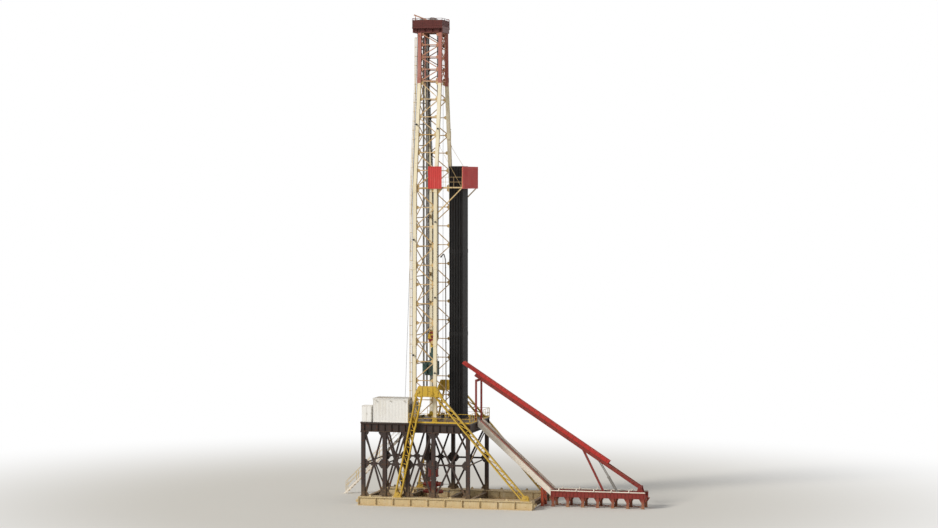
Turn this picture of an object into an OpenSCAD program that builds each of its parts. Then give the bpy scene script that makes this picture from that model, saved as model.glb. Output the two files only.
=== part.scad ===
// Land drilling rig at one tenth of its real size, in millimetres.
// The well centre is the origin, +X points out of the V-door and +Z is up.

/* [Overall] */
// Height of the drill floor's top above the ground
floor_h = 940; // [860:10:1000]
// Length of the floor behind the well centre
floor_rear = 730; // [715:5:800]
// Length of the floor in front of the well centre
floor_front = 550; // [500:5:600]
// Half the width of the floor
floor_half = 470; // [460:2:490]

/* [Base boxes] */
// Height of the base boxes
base_h = 100; // [80:5:120]
// Width of each base box
base_w = 150; // [140:5:170]
// Rear end of the base boxes behind the well centre
base_rear = 740; // [735:5:800]
// Front end of the base boxes in front of the well centre
base_front = 1270; // [1250:5:1300]

/* [Substructure] */
// Width of the square posts
post_w = 42; // [34:1:48]
// Depth of the floor girders
girder_h = 100; // [80:5:120]
// Thickness of the floor plate
plate_t = 10; // [6:1:14]
// Width of the diagonal bracing
sub_brace_w = 20; // [14:1:26]

/* [Mast] */
// Distance between rear and front legs, centre to centre
mast_depth = 240; // [220:5:250]
// Distance between near and far legs at the floor
mast_w = 760; // [740:5:780]
// Distance between near and far legs at the racking board
board_w = 690; // [670:5:700]
// Distance between near and far legs below the red top section
neck_w = 300; // [280:5:340]
// Distance between near and far legs under the crown
crown_w = 260; // [250:5:280]
// Racking board height above the floor
board_z = 2640; // [2560:10:2700]
// Height of the bottom of the red top section above the floor
neck_z = 3850; // [3700:10:3900]
// Height of the underside of the crown above the floor
crown_z = 4400; // [4300:10:4500]
// Width of the leg sections
leg_w = 38; // [30:1:42]
// Thickness of the leg flanges and webs
leg_t = 7; // [5:0.5:9]
// Width of the lattice bars
brace_w = 10; // [7:0.5:12]
// Thickness of the lattice bars
brace_t = 7; // [4:0.5:9]
// Height of the mast shoes
shoe_h = 40; // [30:1:60]

/* [Crown] */
// Depth of the crown beams
crown_beam_h = 46; // [36:1:60]
// Sheave radius
sheave_r = 56; // [50:1:57]
// Sheave thickness
sheave_t = 9; // [7:0.5:11]
// Distance between sheaves
sheave_pitch = 15; // [13:0.5:16]
// Radius of the drilling line
line_r = 1.75; // [1.2:0.05:2]

/* [Racking board] */
// Distance of the board's front edge from the well centre
board_front = 430; // [420:5:460]
// Height of the windbreak panels
wind_h = 250; // [200:5:280]
// Distance between the rows of stands
row_pitch = 19; // [18.2:0.1:19.5]
// Rows of stands
rows = 9; // [4:1:9]
// Stands in each row
row_stands = 14; // [8:1:14]
// Radius of the drill pipe
pipe_r = 6.35; // [5:0.05:6.8]
// Radius of the tool joints
joint_r = 8.5; // [8:0.05:8.8]
// Length of one stand
stand_h = 2880; // [2860:10:2940]

/* [Hoist] */
// Height of the elevators above the floor at the lowest position
hoist_low = 200; // [160:5:260]
// Width of the top drive
drive_w = 110; // [90:2:116]

/* [Drawworks] */
// Rear end of the drawworks skid behind the well centre
works_rear = 430; // [420:5:450]
// Length of the drawworks skid
works_len = 240; // [230:5:250]
// Height of the drawworks skid
works_skid = 20; // [14:1:26]
// Height of the near housing above the floor
near_house = 170; // [150:5:190]
// Height of the far housing above the floor
far_house = 180; // [160:5:200]
// Radius of the drum
drum_r = 36; // [30:1:40]
// Width of the drum between the housings
drum_w = 156; // [148:2:160]
// Radius of the drawworks motor
motor_r = 56; // [46:1:60]
// Length of the drawworks motor
motor_len = 130; // [110:5:140]

/* [A-frames] */
// Width of the A-frame beams
frame_w = 40; // [30:1:46]
// Foot of the rear legs behind the well centre
rear_foot = 285; // [260:5:300]
// Foot of the front legs in front of the well centre
front_foot = 1190; // [1160:5:1210]

/* [Catwalk and ramp] */
// Height of the catwalk deck
catwalk_h = 180; // [150:5:200]
// Width of the catwalk
catwalk_w = 220; // [200:5:260]
// Rear end of the catwalk in front of the well centre
catwalk_end = 2470; // [2450:5:2530]
// Slope of the ramp in degrees
ramp_slope = 42; // [40:0.5:44]
// Width of the ramp
ramp_w = 200; // [180:5:220]
// Slope of the raised pipe trough in degrees
trough_slope = 33; // [32.4:0.1:33.6]
// Length of the pipe trough
trough_len = 2010; // [1930:10:2020]

/* [Doghouse] */
// Length of the doghouse
dog_len = 400; // [380:5:400]
// Width of the doghouse
dog_w = 235; // [220:5:240]
// Height of the doghouse walls
dog_h = 250; // [230:5:280]
// Thickness of the doghouse walls
dog_t = 6; // [4:0.5:9]
// Height of the doorway
door_h = 205; // [195:1:210]
// Width of the doorway
door_w = 90; // [80:1:96]

/* [Stair] */
// Treads in the far stair
treads = 26; // [22:1:30]
// Width of the stair
stair_w = 80; // [70:2:90]
// Height of the handrails
rail_h = 110; // [100:1:115]
// Width of the rail bars
rail_w = 4; // [3:0.5:6]

/* [Hidden] */

$fn = 48;
eps = 0.3;
girder_top = floor_h - plate_t;
girder_z = girder_top - girder_h;
side_y = floor_half - post_w / 2;
frame_y = floor_half + 8 + frame_w / 2;
base_y = floor_half + 64 - base_w / 2;
post_x = [-floor_rear + 30, -450, -180, 120, floor_front - 30];
beam_x = [-floor_rear + 20, -500, -300, -110, 110, 330, floor_front - 20];
mast_z = floor_h + shoe_h;
board_level = floor_h + board_z;
neck_level = floor_h + neck_z;
crown_level = floor_h + crown_z;
crown_top = crown_level + crown_beam_h + 6;
sheave_z = crown_top + 64;
groove = 4;
line_x = sheave_r - groove + eps + line_r;
portal_z = floor_h + 650;
drive_z = floor_h + hoist_low + 220;
drive_h = 400;
block_z = drive_z + drive_h + 130;
fast_x = -122;
crown_rear = 200;
fast_line_x = fast_x - line_x;
drum_x = -works_rear + 130;
drum_z = floor_h + works_skid + 72;
house_w = 102;
row_x = 169.5;
joint_pitch = 16.8;
row_gap = 8.1;
side_in = board_w / 2 - 10;
stand_y = side_in - row_gap - joint_r - (row_stands - 1) * joint_pitch;
mat_t = 8;
stand_z = floor_h + mat_t;
apex_z = floor_h + 300;
head_h = 120;
ramp_run = (floor_h - catwalk_h) / tan(ramp_slope);
ramp_end = floor_front + ramp_run;
pivot_x = catwalk_end - 70;
pivot_z = catwalk_h + 52;
carrier_len = (pivot_x - floor_front) / cos(trough_slope) + 60;
ramp_t = 14;
walk_x = ramp_end + eps;
catwalk_leg_x = [for (i = [0 : 6]) walk_x + 10 + i * (catwalk_end - walk_x - 50) / 6];
sill_x = floor_front - 16;
sill_z = pivot_z + (pivot_x - sill_x - 10) * tan(trough_slope) - 18 / cos(trough_slope) - eps;
trough_from = 450;
dog_x = -floor_rear + 155;
dog_y = -floor_half;
dog_floor_t = 12;
door_gap = 60;
stair_top_x = -290;
stair_y = floor_half + 75;
rise = floor_h / (treads + 1);
go = rise;

// Height of the carrier's underside at x
function carrier_under(x) = pivot_z + (pivot_x - x) * tan(trough_slope) - 18 / cos(trough_slope) - eps;

module both() {
  for (m = [0, 1]) mirror([0, m, 0]) children();
}

module xz(t) {
  rotate([90, 0, 0]) linear_extrude(t, center = true) children();
}

module yz(t) {
  rotate([90, 0, 90]) linear_extrude(t, center = true) children();
}

module block(x, y, z) {
  translate([x[0], y[0], z[0]]) cube([x[1] - x[0], y[1] - y[0], z[1] - z[0]]);
}

// A flat bar of width w from p to q
module bar(p, q, w) {
  d = q - p;
  translate(p) rotate(atan2(d[1], d[0])) translate([0, -w / 2]) square([norm(d), w]);
}

// The same bar carried past both ends, to be trimmed by what it meets
module long_bar(p, q, w) {
  u = (q - p) / norm(q - p) * 20;
  bar(p - u, q + u, w);
}

// A round bar from p to q
module rod(p, q, r) {
  d = q - p;
  l = norm(d);
  translate(p) rotate([0, acos(d[2] / l), atan2(d[1], d[0])]) cylinder(h = l, r = r);
}

module i_section(h, w, flange, web) {
  for (s = [0, 1]) translate([-w / 2, s * (h - flange)]) square([w, flange]);
  translate([-web / 2, 0]) square([web, h]);
}

module leg_section() {
  for (s = [-1, 1]) translate([-leg_w / 2, s * (leg_w - leg_t) / 2 - leg_t / 2]) square([leg_w, leg_t]);
  translate([-leg_t / 2, -leg_w / 2]) square([leg_t, leg_w]);
}

// Horizontals with diagonals that change direction from bay to bay
module zigzag(run, wide, bays, w) {
  for (i = [0 : bays - 1]) {
    z0 = i * run / bays;
    z1 = (i + 1) * run / bays;
    s = i % 2 == 0 ? 1 : -1;
    bar([-s * wide / 2, z0], [s * wide / 2, z1], w);
    bar([-wide / 2, z1], [wide / 2, z1], w);
  }
  bar([-wide / 2, w / 2], [wide / 2, w / 2], w);
}

// One side of a mast section, its legs leaning in from w0 to w1
module side_panel(z0, z1, w0, w1, bays) {
  a = atan((w0 - w1) / 2 / (z1 - z0));
  run = (z1 - z0) / cos(a);
  intersection() {
    block([-mast_depth, mast_depth], [-mast_w, 0], [z0, z1]);
    translate([0, -w0 / 2, z0]) rotate([-a, 0, 0]) {
      xz(brace_t) zigzag(run, mast_depth, bays, brace_w);
      for (s = [-1, 1]) translate([s * mast_depth / 2, 0, -leg_w])
        linear_extrude(run + 2 * leg_w) leg_section();
    }
  }
}

// Crossed bars between the legs of a mast section, in the plane of the legs at x
module face_panel(x, z0, z1, w0, w1, bays) {
  a = atan((w0 - w1) / 2 / (z1 - z0));
  face = leg_w / 2 / cos(a);
  h = (z1 - z0) / bays;
  function half(z) = (w0 + (w1 - w0) * (z - z0) / (z1 - z0)) / 2 - face;
  translate([x, 0, 0]) yz(brace_t) intersection() {
    polygon([[-half(z0), z0], [half(z0), z0], [half(z1), z1], [-half(z1), z1]]);
    union() {
      for (i = [0 : bays - 1]) {
        za = z0 + i * h;
        zb = za + h;
        long_bar([-half(za), za], [half(zb), zb], brace_w);
        long_bar([half(za), za], [-half(zb), zb], brace_w);
      }
      for (i = [0 : bays]) {
        z = z0 + i * h;
        long_bar([-half(z), z], [half(z), z], i == 0 || i == bays ? 2 * brace_w : brace_w);
      }
    }
  }
}

module base_boxes() {
  color("Wheat") both() {
    difference() {
      block([-base_rear, base_front], [base_y - base_w / 2, base_y + base_w / 2], [0, base_h]);
      for (s = [-1, 1]) translate([0, base_y + s * base_w / 2, 0])
        block([-base_rear - 1, base_front + 1], [-18, 18], [10, base_h - 10]);
    }
    for (x = [-base_rear : 201 : base_front - 20])
      block([x, x + 6], [base_y - base_w / 2, base_y + base_w / 2], [5, base_h - 5]);
  }
}

module spreaders() {
  y = base_y - base_w / 2;
  color("SaddleBrown") for (x = [-floor_rear + 30, -250, 250, floor_front - 30, base_front - 30]) {
    translate([x, 0, 20]) xz(2 * y - 12) i_section(base_h - 40, 40, 6, 8);
    both() block([x - 30, x + 30], [y - 6, y], [2, base_h - 2]);
  }
}

module posts() {
  color("SaddleBrown") both() for (x = post_x) {
    block([x - post_w / 2, x + post_w / 2], [side_y - post_w / 2, side_y + post_w / 2],
      [base_h + 8, girder_z]);
    block([x - post_w / 2 - 8, x + post_w / 2 + 8], [side_y - post_w / 2 - 6, side_y + post_w / 2 + 4],
      [base_h, base_h + 8]);
  }
}

module side_bracing() {
  z0 = base_h + 8;
  z1 = girder_z;
  w = sub_brace_w;
  color("SaddleBrown") both() for (i = [0 : len(post_x) - 2]) {
    x0 = post_x[i] + post_w / 2;
    x1 = post_x[i + 1] - post_w / 2;
    translate([0, side_y, 0]) xz(12) intersection() {
      translate([x0, z0]) square([x1 - x0, z1 - z0]);
      union() {
        bar([x0, z0], [x1, z1], w);
        bar([x1, z0], [x0, z1], w);
        bar([x0, (z0 + z1) / 2], [x1, (z0 + z1) / 2], w);
      }
    }
  }
}

module substructure_bracing() {
  spreaders();
  side_bracing();
}

module floor_girders() {
  color("SaddleBrown") both() translate([0, side_y, girder_z])
    translate([(floor_front - floor_rear) / 2, 0, 0]) yz(floor_front + floor_rear)
      i_section(girder_h, post_w, 8, 8);
}

module floor_beams() {
  y = side_y - post_w / 2;
  color("SaddleBrown") for (x = beam_x)
    translate([x, 0, girder_z]) xz(2 * y) i_section(girder_h, 30, 7, 8);
}

module drill_floor() {
  color("DimGray") difference() {
    block([-floor_rear, floor_front], [-floor_half, floor_half], [girder_top, floor_h]);
    block([-76, 76], [-76, 76], [girder_top - 1, floor_h + 1]);
    translate([112, -40, girder_top - 1]) cylinder(h = plate_t + 2, r = 14);
  }
}

module rotary_housing() {
  color("FireBrick") difference() {
    union() {
      block([-75, 75], [-75, 75], [girder_top - 40, floor_h]);
      block([-90, 90], [-90, 90], [floor_h, floor_h + 4]);
    }
    translate([0, 0, girder_top - 32]) cylinder(h = 60, r = 52);
    translate([0, 0, girder_top - 41]) cylinder(h = 20, r = 42);
  }
}

module rotary_table() {
  color("Gray") difference() {
    translate([0, 0, girder_top - 32 + eps]) cylinder(h = 32 + plate_t + 6, r = 50);
    translate([0, 0, girder_top - 40]) cylinder(h = 80, r = 16);
    translate([0, 0, floor_h + 2]) difference() {
      cylinder(h = 6, r = 34);
      translate([0, 0, -1]) cylinder(h = 8, r = 30);
    }
  }
}

module bop_stack() {
  h = girder_top - 40 - eps;
  color("IndianRed") {
    cylinder(h = 12, r = 38);
    cylinder(h = h, r = 19);
    for (z = [62, 74, 252, 264, 404]) translate([0, 0, z]) cylinder(h = 11, r = 36);
    for (z = [96, 180]) {
      block([-45, 45], [-38, 38], [z - 8, z + 56]);
      rod([-115, 0, z + 24], [115, 0, z + 24], 20);
      rod([-95, 0, z + 24], [95, 0, z + 24], 26);
    }
    translate([0, 0, 286]) cylinder(h = 110, r = 58);
    translate([0, 0, 396]) cylinder(h = 12, r1 = 58, r2 = 40);
    translate([0, 0, h - 40]) cylinder(h = 40, r = 30);
    translate([0, 0, h - 10]) cylinder(h = 10, r = 48);
  }
}

// A leg of the A-frame as two chords with battens, cut level at its ends
module frame_leg(foot, head, gap, bays, z0, z1) {
  d = head - foot;
  n = [-d[1], d[0]] / norm(d) * gap / 2;
  color("Gold") both() translate([0, frame_y, 0]) {
    xz(frame_w) intersection() {
      translate([-2000, z0]) square([4000, z1 - z0]);
      for (s = [-1, 1]) bar(foot + s * n - d / 20, head + s * n + d / 20, 14);
    }
    xz(10) intersection() {
      translate([-2000, z0]) square([4000, z1 - z0]);
      for (i = [0 : bays - 1]) {
        p = foot + d * i / bays;
        q = foot + d * (i + 1) / bays;
        bar(p - n, q + n, 8);
        bar(q + n, q - n, 8);
      }
    }
  }
}

module a_frame_rear_legs() {
  frame_leg([-rear_foot, base_h], [-35, apex_z], 64, 12, base_h, apex_z);
}

module a_frame_front_legs() {
  frame_leg([front_foot, base_h], [190, apex_z], 50, 12, base_h, apex_z);
}

module a_frame_heads() {
  mast_shoes();
  color("Gold") both() {
    translate([0, frame_y, 0]) xz(frame_w)
      polygon([[-90, apex_z], [250, apex_z], [160, apex_z + head_h], [-40, apex_z + head_h]]);
    for (x = [-mast_depth / 2, mast_depth / 2]) {
      z = apex_z + 40;
      leg_y = mast_w / 2 - (mast_w - board_w) / 2 * (z - mast_z) / (board_level - mast_z);
      if (x > 0) rod([x, leg_y + leg_w / 2 + eps, z], [x, frame_y, z], 9);
    }
    rod([-40, frame_y - 30, apex_z + 60], [-40, frame_y + frame_w / 2 + 8, apex_z + 60], 14);
  }
}

module mast_shoes() {
  color("Gold") both() for (x = [-mast_depth / 2, mast_depth / 2]) translate([x, mast_w / 2, 0]) {
    block([-34, 34], [-30, 30], [floor_h, floor_h + 10]);
    block([-24, 24], [-22, 22], [floor_h + 10, mast_z]);
  }
}

module mast_lower_sides() {
  color("Wheat") both() side_panel(mast_z, board_level, mast_w, board_w, 12);
}

module mast_upper_sides() {
  color("Wheat") both() side_panel(board_level, neck_level, board_w, neck_w, 6);
}

module mast_back() {
  w = mast_w - (mast_w - board_w) * (portal_z - mast_z) / (board_level - mast_z);
  color("Wheat") {
    face_panel(-mast_depth / 2, portal_z, board_level, w, board_w, 6);
    face_panel(-mast_depth / 2, board_level, neck_level, board_w, neck_w, 5);
  }
}

module mast_top_sides() {
  color("IndianRed") both() side_panel(neck_level, crown_level, neck_w, crown_w, 4);
}

module mast_top_faces() {
  color("IndianRed") for (x = [-mast_depth / 2, mast_depth / 2])
    face_panel(x, neck_level, crown_level, neck_w, crown_w, 3);
}

module crown_frame() {
  z0 = crown_level;
  color("Maroon") difference() {
    union() {
      block([-crown_rear, 150], [-170, 170], [z0 + crown_beam_h, crown_top]);
      both() {
        block([-crown_rear, 150], [crown_w / 2 - 12, crown_w / 2 + 12], [z0, z0 + crown_beam_h]);
        block([-crown_rear, 150], [46, 58], [z0, z0 + crown_beam_h]);
      }
      for (x = [-crown_rear, -134, 92, 136]) block([x, x + 14], [-150, 150], [z0, z0 + crown_beam_h]);
      both() {
        translate([0, 49, crown_top]) xz(8) polygon([[-60, 0], [60, 0], [22, 84], [-22, 84]]);
        translate([fast_x, 10, crown_top]) xz(6) polygon([[-28, 0], [26, 0], [12, 80], [-12, 80]]);
      }
    }
    block([-76, 76], [-43, 43], [z0 - 1, crown_top + 1]);
    block([fast_line_x - 14, fast_line_x + 10], [-7, 7], [z0 - 1, crown_top + 1]);
  }
}

module sheave() {
  rotate([90, 0, 0]) rotate_extrude() {
    polygon([
      [0, -sheave_t / 2], [sheave_r, -sheave_t / 2], [sheave_r - groove, -1], [sheave_r - groove, 1],
      [sheave_r, sheave_t / 2], [0, sheave_t / 2]
    ]);
  }
}

module crown_sheaves() {
  color("Gray") {
    translate([0, 0, sheave_z]) {
      for (i = [-2 : 2]) translate([0, i * sheave_pitch, 0]) sheave();
      rotate([90, 0, 0]) cylinder(h = 90 - 2 * eps, r = 12, center = true);
    }
    translate([fast_x, 0, sheave_z]) {
      sheave();
      rotate([90, 0, 0]) cylinder(h = 14 - 2 * eps, r = 10, center = true);
    }
  }
}

// A run of handrail along X, standing on z = 0
module rail_run(length, h) {
  n = max(1, ceil(length / 150));
  xz(rail_w) union() {
    translate([0, h - rail_w]) square([length, rail_w]);
    translate([0, h / 2 - rail_w / 2]) square([length, rail_w]);
    for (i = [0 : n]) translate([i * (length - rail_w) / n, 0]) square([rail_w, h]);
  }
}

module crown_rails() {
  color("Maroon") translate([0, 0, crown_top]) {
    both() translate([-crown_rear, 167, 0]) rail_run(crown_rear + 150, rail_h);
    translate([-crown_rear + 2, -164, 0]) rotate([0, 0, 90]) rail_run(328, rail_h);
    translate([148, -164, 0]) rotate([0, 0, 90]) rail_run(328, rail_h);
  }
}

module racking_walkway() {
  y = side_in;
  color("Wheat") block([board_front - 45, board_front], [-y, y], [board_level, board_level + 15]);
}

module racking_sides() {
  z = board_level;
  x0 = mast_depth / 2 + leg_w / 2;
  y1 = board_w / 2 + 10;
  color("Wheat") {
    both() block([x0, board_front], [side_in, y1], [z, z + 15]);
    block([x0 - 10, board_front - 45], [-22, 22], [z + 3, z + 12]);
  }
  color("Wheat") both() translate([0, board_w / 2, 0]) xz(10)
    intersection() {
      polygon([[x0, z - 320], [board_front, z - 320], [board_front, z], [x0, z]]);
      bar([x0 - 20, z - 300], [board_front, z + 10], 12);
    }
}

module racking_fingers() {
  z = board_level;
  y = side_in;
  color("Goldenrod") both() for (i = [0 : 9])
    block([row_x + (i - 0.5) * row_pitch - 2, row_x + (i - 0.5) * row_pitch + 2], [60, y], [z + 3, z + 11]);
}

module windbreak_front() {
  z = board_level - 5;
  y = board_w / 2 + 10;
  color("Red") block([board_front, board_front + 5], [-y, y], [z, z + wind_h]);
}

module windbreak_sides() {
  z = board_level - 5;
  y = board_w / 2 + 10;
  near_y = board_w / 2 + leg_w / 2 + 3;
  color("Red") {
    block([mast_depth / 2 + 20, board_front], [y, y + 5], [z, z + wind_h]);
    block([40, 195], [-near_y - 5, -near_y], [z, z + wind_h]);
    for (x = [150, 180]) block([x, x + 6], [-near_y, -y], [z + 6, z + 14]);
  }
}

module setback_mats() {
  color("Peru") both() block([150, 350], [stand_y - 15, side_in + 5], [floor_h, floor_h + mat_t]);
}

// One row of racked stands, joined where the tool joints touch
module stand_row() {
  lift = (stand_h - 45) / 3;
  for (k = [0 : 3]) translate([0, 0, k * lift]) linear_extrude(45)
    for (i = [0 : row_stands - 1]) translate([0, i * joint_pitch]) circle(joint_r);
  for (i = [0 : row_stands - 1]) translate([0, i * joint_pitch, 0]) cylinder(h = stand_h, r = pipe_r);
}

module pipe_stands() {
  color("Black") for (j = [0 : rows - 1])
    translate([row_x + j * row_pitch, stand_y, stand_z]) stand_row();
}

module travelling_block() {
  color("Gold") translate([0, 0, block_z]) {
    both() translate([0, 47, 0]) xz(8)
      polygon([[-34, -70], [34, -70], [52, -20], [40, 40], [18, 66], [-18, 66], [-40, 40], [-52, -20]]);
    for (i = [-2 : 2]) translate([0, i * sheave_pitch, 0]) sheave();
    rotate([90, 0, 0]) cylinder(h = 100, r = 12, center = true);
    block([-22, 22], [-43, 43], [-118, -60]);
  }
}

module top_drive() {
  w = drive_w / 2;
  color("Teal") translate([0, 0, drive_z]) {
    block([-w, w], [-w, w], [90, 250]);
    translate([0, 0, 250]) cylinder(h = 90, r = 44);
    both() block([-14, 14], [w - 12, w], [250, 352]);
    block([-14, 14], [-w, w], [352, drive_h]);
    translate([0, 0, 30]) cylinder(h = 60, r = 34);
    cylinder(h = 40, r = 18);
  }
  color("Teal") translate([0, 0, drive_z + drive_h]) cylinder(h = 12, r = 16);
}

module links_and_elevator() {
  z = floor_h + hoist_low;
  color("Gray") {
    both() {
      rod([0, 40, z + 16], [0, 40, z + 280], 6);
      block([-12, 12], [34, 46], [z + 280, drive_z + 90]);
    }
    difference() {
      union() {
        translate([0, 0, z]) cylinder(h = 30, r = 24);
        block([-10, 10], [-48, 48], [z + 4, z + 24]);
      }
      translate([0, 0, z - 1]) cylinder(h = 40, r = 8);
    }
  }
}

module drilling_lines() {
  color("Black") for (s = [-1, 1]) for (i = [-2 : 2])
    translate([s * line_x, i * sheave_pitch, block_z]) cylinder(h = sheave_z - block_z, r = line_r, $fn = 12);
}

module fast_and_dead_lines() {
  color("Black") rod([fast_line_x, 0, sheave_z], [drum_x - drum_r - 2, 0, drum_z], line_r, $fn = 12);
  color("Black") rod([90, 108, crown_level - 1], [60, 200, floor_h + 60], line_r, $fn = 12);
  color("Gray") translate([60, 200, floor_h]) cylinder(h = 60 - eps, r = 20);
}

module drawworks() {
  x0 = -works_rear;
  x1 = x0 + works_len - 35;
  y = drum_w / 2;
  z = floor_h + works_skid;
  far_w = house_w + 10;
  color("DarkOliveGreen") {
    block([x0, x0 + works_len], [-y - house_w, y + far_w + motor_len + 10], [floor_h, z]);
    block([x0 + 30, x1], [-y - house_w, -y], [z, floor_h + near_house]);
    block([x0 + 30, x1], [y, y + far_w], [z, floor_h + far_house]);
    rod([x0 + 120, y + far_w, drum_z], [x0 + 120, y + far_w + motor_len, drum_z], motor_r);
    block([x0 + 70, x0 + 170], [y + far_w + 10, y + far_w + motor_len - 10], [z, z + 40]);
    translate([drum_x, 0, drum_z]) rotate([90, 0, 0]) {
      cylinder(h = drum_w + 2, r = drum_r, center = true);
      for (s = [-1, 1]) translate([0, 0, s * (y - 12)])
        cylinder(h = 8, r = drum_r + 26, center = true);
    }
  }
}

module doghouse_long_walls() {
  x1 = dog_x + dog_len;
  y1 = dog_y + dog_w;
  z0 = floor_h + dog_floor_t;
  color("White") {
    block([dog_x, x1], [dog_y, dog_y + dog_t], [z0, z0 + dog_h]);
    block([dog_x, x1 - door_gap - door_w], [y1 - dog_t, y1], [z0, z0 + dog_h]);
    block([x1 - door_gap, x1], [y1 - dog_t, y1], [z0, z0 + dog_h]);
  }
}

// The end walls, the wall over the doorway and the locker behind the cabin
module doghouse_end_walls() {
  x1 = dog_x + dog_len;
  y0 = dog_y + dog_t;
  y1 = dog_y + dog_w;
  z0 = floor_h + dog_floor_t;
  color("White") {
    block([dog_x, dog_x + dog_t], [y0, y1 - dog_t], [z0, z0 + dog_h]);
    difference() {
      block([x1 - dog_t, x1], [y0, y1 - dog_t], [z0, z0 + dog_h]);
      block([x1 - dog_t - 1, x1 + 1], [dog_y + 50, y1 - 50], [z0 + 95, z0 + 185]);
    }
    block([x1 - door_gap - door_w, x1 - door_gap], [y1 - dog_t, y1], [z0 + door_h, z0 + dog_h]);
    block([-floor_rear + 20, dog_x - 30], [dog_y + 5, dog_y + 110], [floor_h, floor_h + 180]);
  }
}

module doghouse_roof() {
  z1 = floor_h + dog_floor_t + dog_h;
  color("WhiteSmoke") block([dog_x - 8, dog_x + dog_len + 8], [dog_y - 8, dog_y + dog_w + 8], [z1, z1 + 8]);
  color("DimGray") block([dog_x, dog_x + dog_len], [dog_y, dog_y + dog_w], [floor_h, floor_h + dog_floor_t]);
}

module doghouse_fittings() {
  x1 = dog_x + dog_len;
  y1 = dog_y + dog_w;
  z0 = floor_h + dog_floor_t;
  d0 = x1 - door_gap - door_w;
  color("LightGray") block([d0 - door_w + 2, d0 - 2], [y1 + 1, y1 + 5], [z0 + 3, z0 + door_h - 2]);
  color("LightGray") for (z = [30, 150]) block([d0 - 4, d0 + 1], [y1, y1 + 6], [z0 + z, z0 + z + 14]);
  color("SkyBlue") block([x1 - dog_t / 2 - 1, x1 - dog_t / 2 + 1], [dog_y + 50, y1 - 50], [z0 + 95, z0 + 185]);
}

module floor_rails() {
  y = floor_half - rail_w / 2;
  x_dog = dog_x + dog_len + 12;
  x_land = stair_top_x + stair_w + 14;
  corner = 8;
  color("Gold") translate([0, 0, floor_h]) {
    translate([x_dog, -y, 0]) rail_run(floor_front - x_dog - corner, rail_h);
    translate([x_land, y, 0]) rail_run(floor_front - x_land - corner, rail_h);
    translate([-floor_rear + corner, y, 0]) rail_run(stair_top_x - 4 + floor_rear - corner, rail_h);
    translate([-floor_rear + rail_w / 2, -floor_half + 120, 0]) rotate([0, 0, 90])
      rail_run(2 * floor_half - 120 - rail_w, rail_h);
    both() translate([floor_front - rail_w / 2, ramp_w / 2 + 50, 0]) rotate([0, 0, 90])
      rail_run(floor_half - rail_w - ramp_w / 2 - 50, rail_h);
  }
}

module ramp() {
  a = [floor_front, floor_h];
  b = [ramp_end, catwalk_h];
  drop = [0, ramp_t / cos(ramp_slope)];
  color("OrangeRed") xz(ramp_w) polygon([a, b, b - drop, a - drop]);
  color("SaddleBrown") both()
    block([ramp_end - 115, ramp_end - 85], [ramp_w / 2 - 30, ramp_w / 2],
      [0, catwalk_h + 85 * tan(ramp_slope) - 10]);
}

module ramp_and_stair_sides() {
  a = [floor_front, floor_h];
  b = [ramp_end, catwalk_h];
  color("MistyRose") both() translate([0, ramp_w / 2 + 6, 0]) xz(12)
    polygon([a + [0, 24], b + [0, 24], b - [0, 56], a - [0, 56]]);
  x0 = stair_top_x;
  z = floor_h;
  color("Goldenrod") for (s = [-1, 1]) translate([0, stair_y + s * (stair_w / 2 - 3), 0]) xz(6)
    polygon([
      [x0, z - 4], [x0, z - 40], [x0 - treads * go - 4, 0], [x0 - floor_h + 4, 0]
    ]);
}

module catwalk_deck() {
  y = catwalk_w / 2 - 24;
  z = catwalk_h - 70;
  color("DarkRed") {
    both() block([walk_x, catwalk_end], [44, catwalk_w / 2], [catwalk_h - 10, catwalk_h]);
    block([walk_x, catwalk_end], [-44, 44], [z, z + 8]);
    for (x = catwalk_leg_x) block([x, x + 30], [-y, y], [z - 20, z]);
  }
}

// The catwalk's side frames, the trough's hinge brackets, its strut and the V-door posts
module catwalk_frame() {
  y = catwalk_w / 2;
  z = catwalk_h - 70;
  color("DarkRed") both() {
    block([walk_x, catwalk_end], [y - 24, y], [z, catwalk_h - 10]);
    for (x = catwalk_leg_x) block([x, x + 30], [y - 24, y], [0, z]);
    translate([0, 50, 0]) xz(10) polygon([
      [pivot_x - 34, catwalk_h], [pivot_x + 34, catwalk_h],
      [pivot_x + 16, pivot_z + 18], [pivot_x - 16, pivot_z + 18]
    ]);
    block([sill_x - 10, sill_x + 10], [ramp_w / 2 + 16, ramp_w / 2 + 36], [floor_h, sill_z - 24]);
  }
  color("DarkRed") xz(22) intersection() {
    bar([pivot_x - 390, z], [pivot_x - 720, z + 660], 22);
    polygon([
      [pivot_x - 800, z + 8 + eps], [pivot_x - 300, z + 8 + eps],
      [pivot_x - 300, carrier_under(pivot_x - 300)], [pivot_x - 800, carrier_under(pivot_x - 800)]
    ]);
  }
}

// Places a child drawn along +X from the pivot, up the slope over the ramp
module on_slope() {
  translate([pivot_x, 0, pivot_z]) rotate([0, trough_slope, 0]) rotate([0, 0, 180]) children();
}

module trough_carrier() {
  pitch = (carrier_len - 60) / 8;
  color("DarkRed") {
    on_slope() {
      both() block([0, carrier_len], [26, 36], [-18, 18]);
      for (i = [0 : 8]) block([20 + i * pitch, 40 + i * pitch], [-26, 26], [-18, -8]);
      rotate([90, 0, 0]) cylinder(h = 90 - 2 * eps, r = 12, center = true);
    }
    block([sill_x - 10, sill_x + 10], [-ramp_w / 2 - 36, ramp_w / 2 + 36], [sill_z - 24, sill_z]);
  }
}

module pipe_trough() {
  color("Red") on_slope() translate([trough_from + trough_len / 2, 0, 18 + eps]) yz(trough_len)
    polygon([[-36, 0], [36, 0], [36, 34], [28, 34], [6, 10], [-6, 10], [-28, 34], [-36, 34]]);
}

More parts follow.
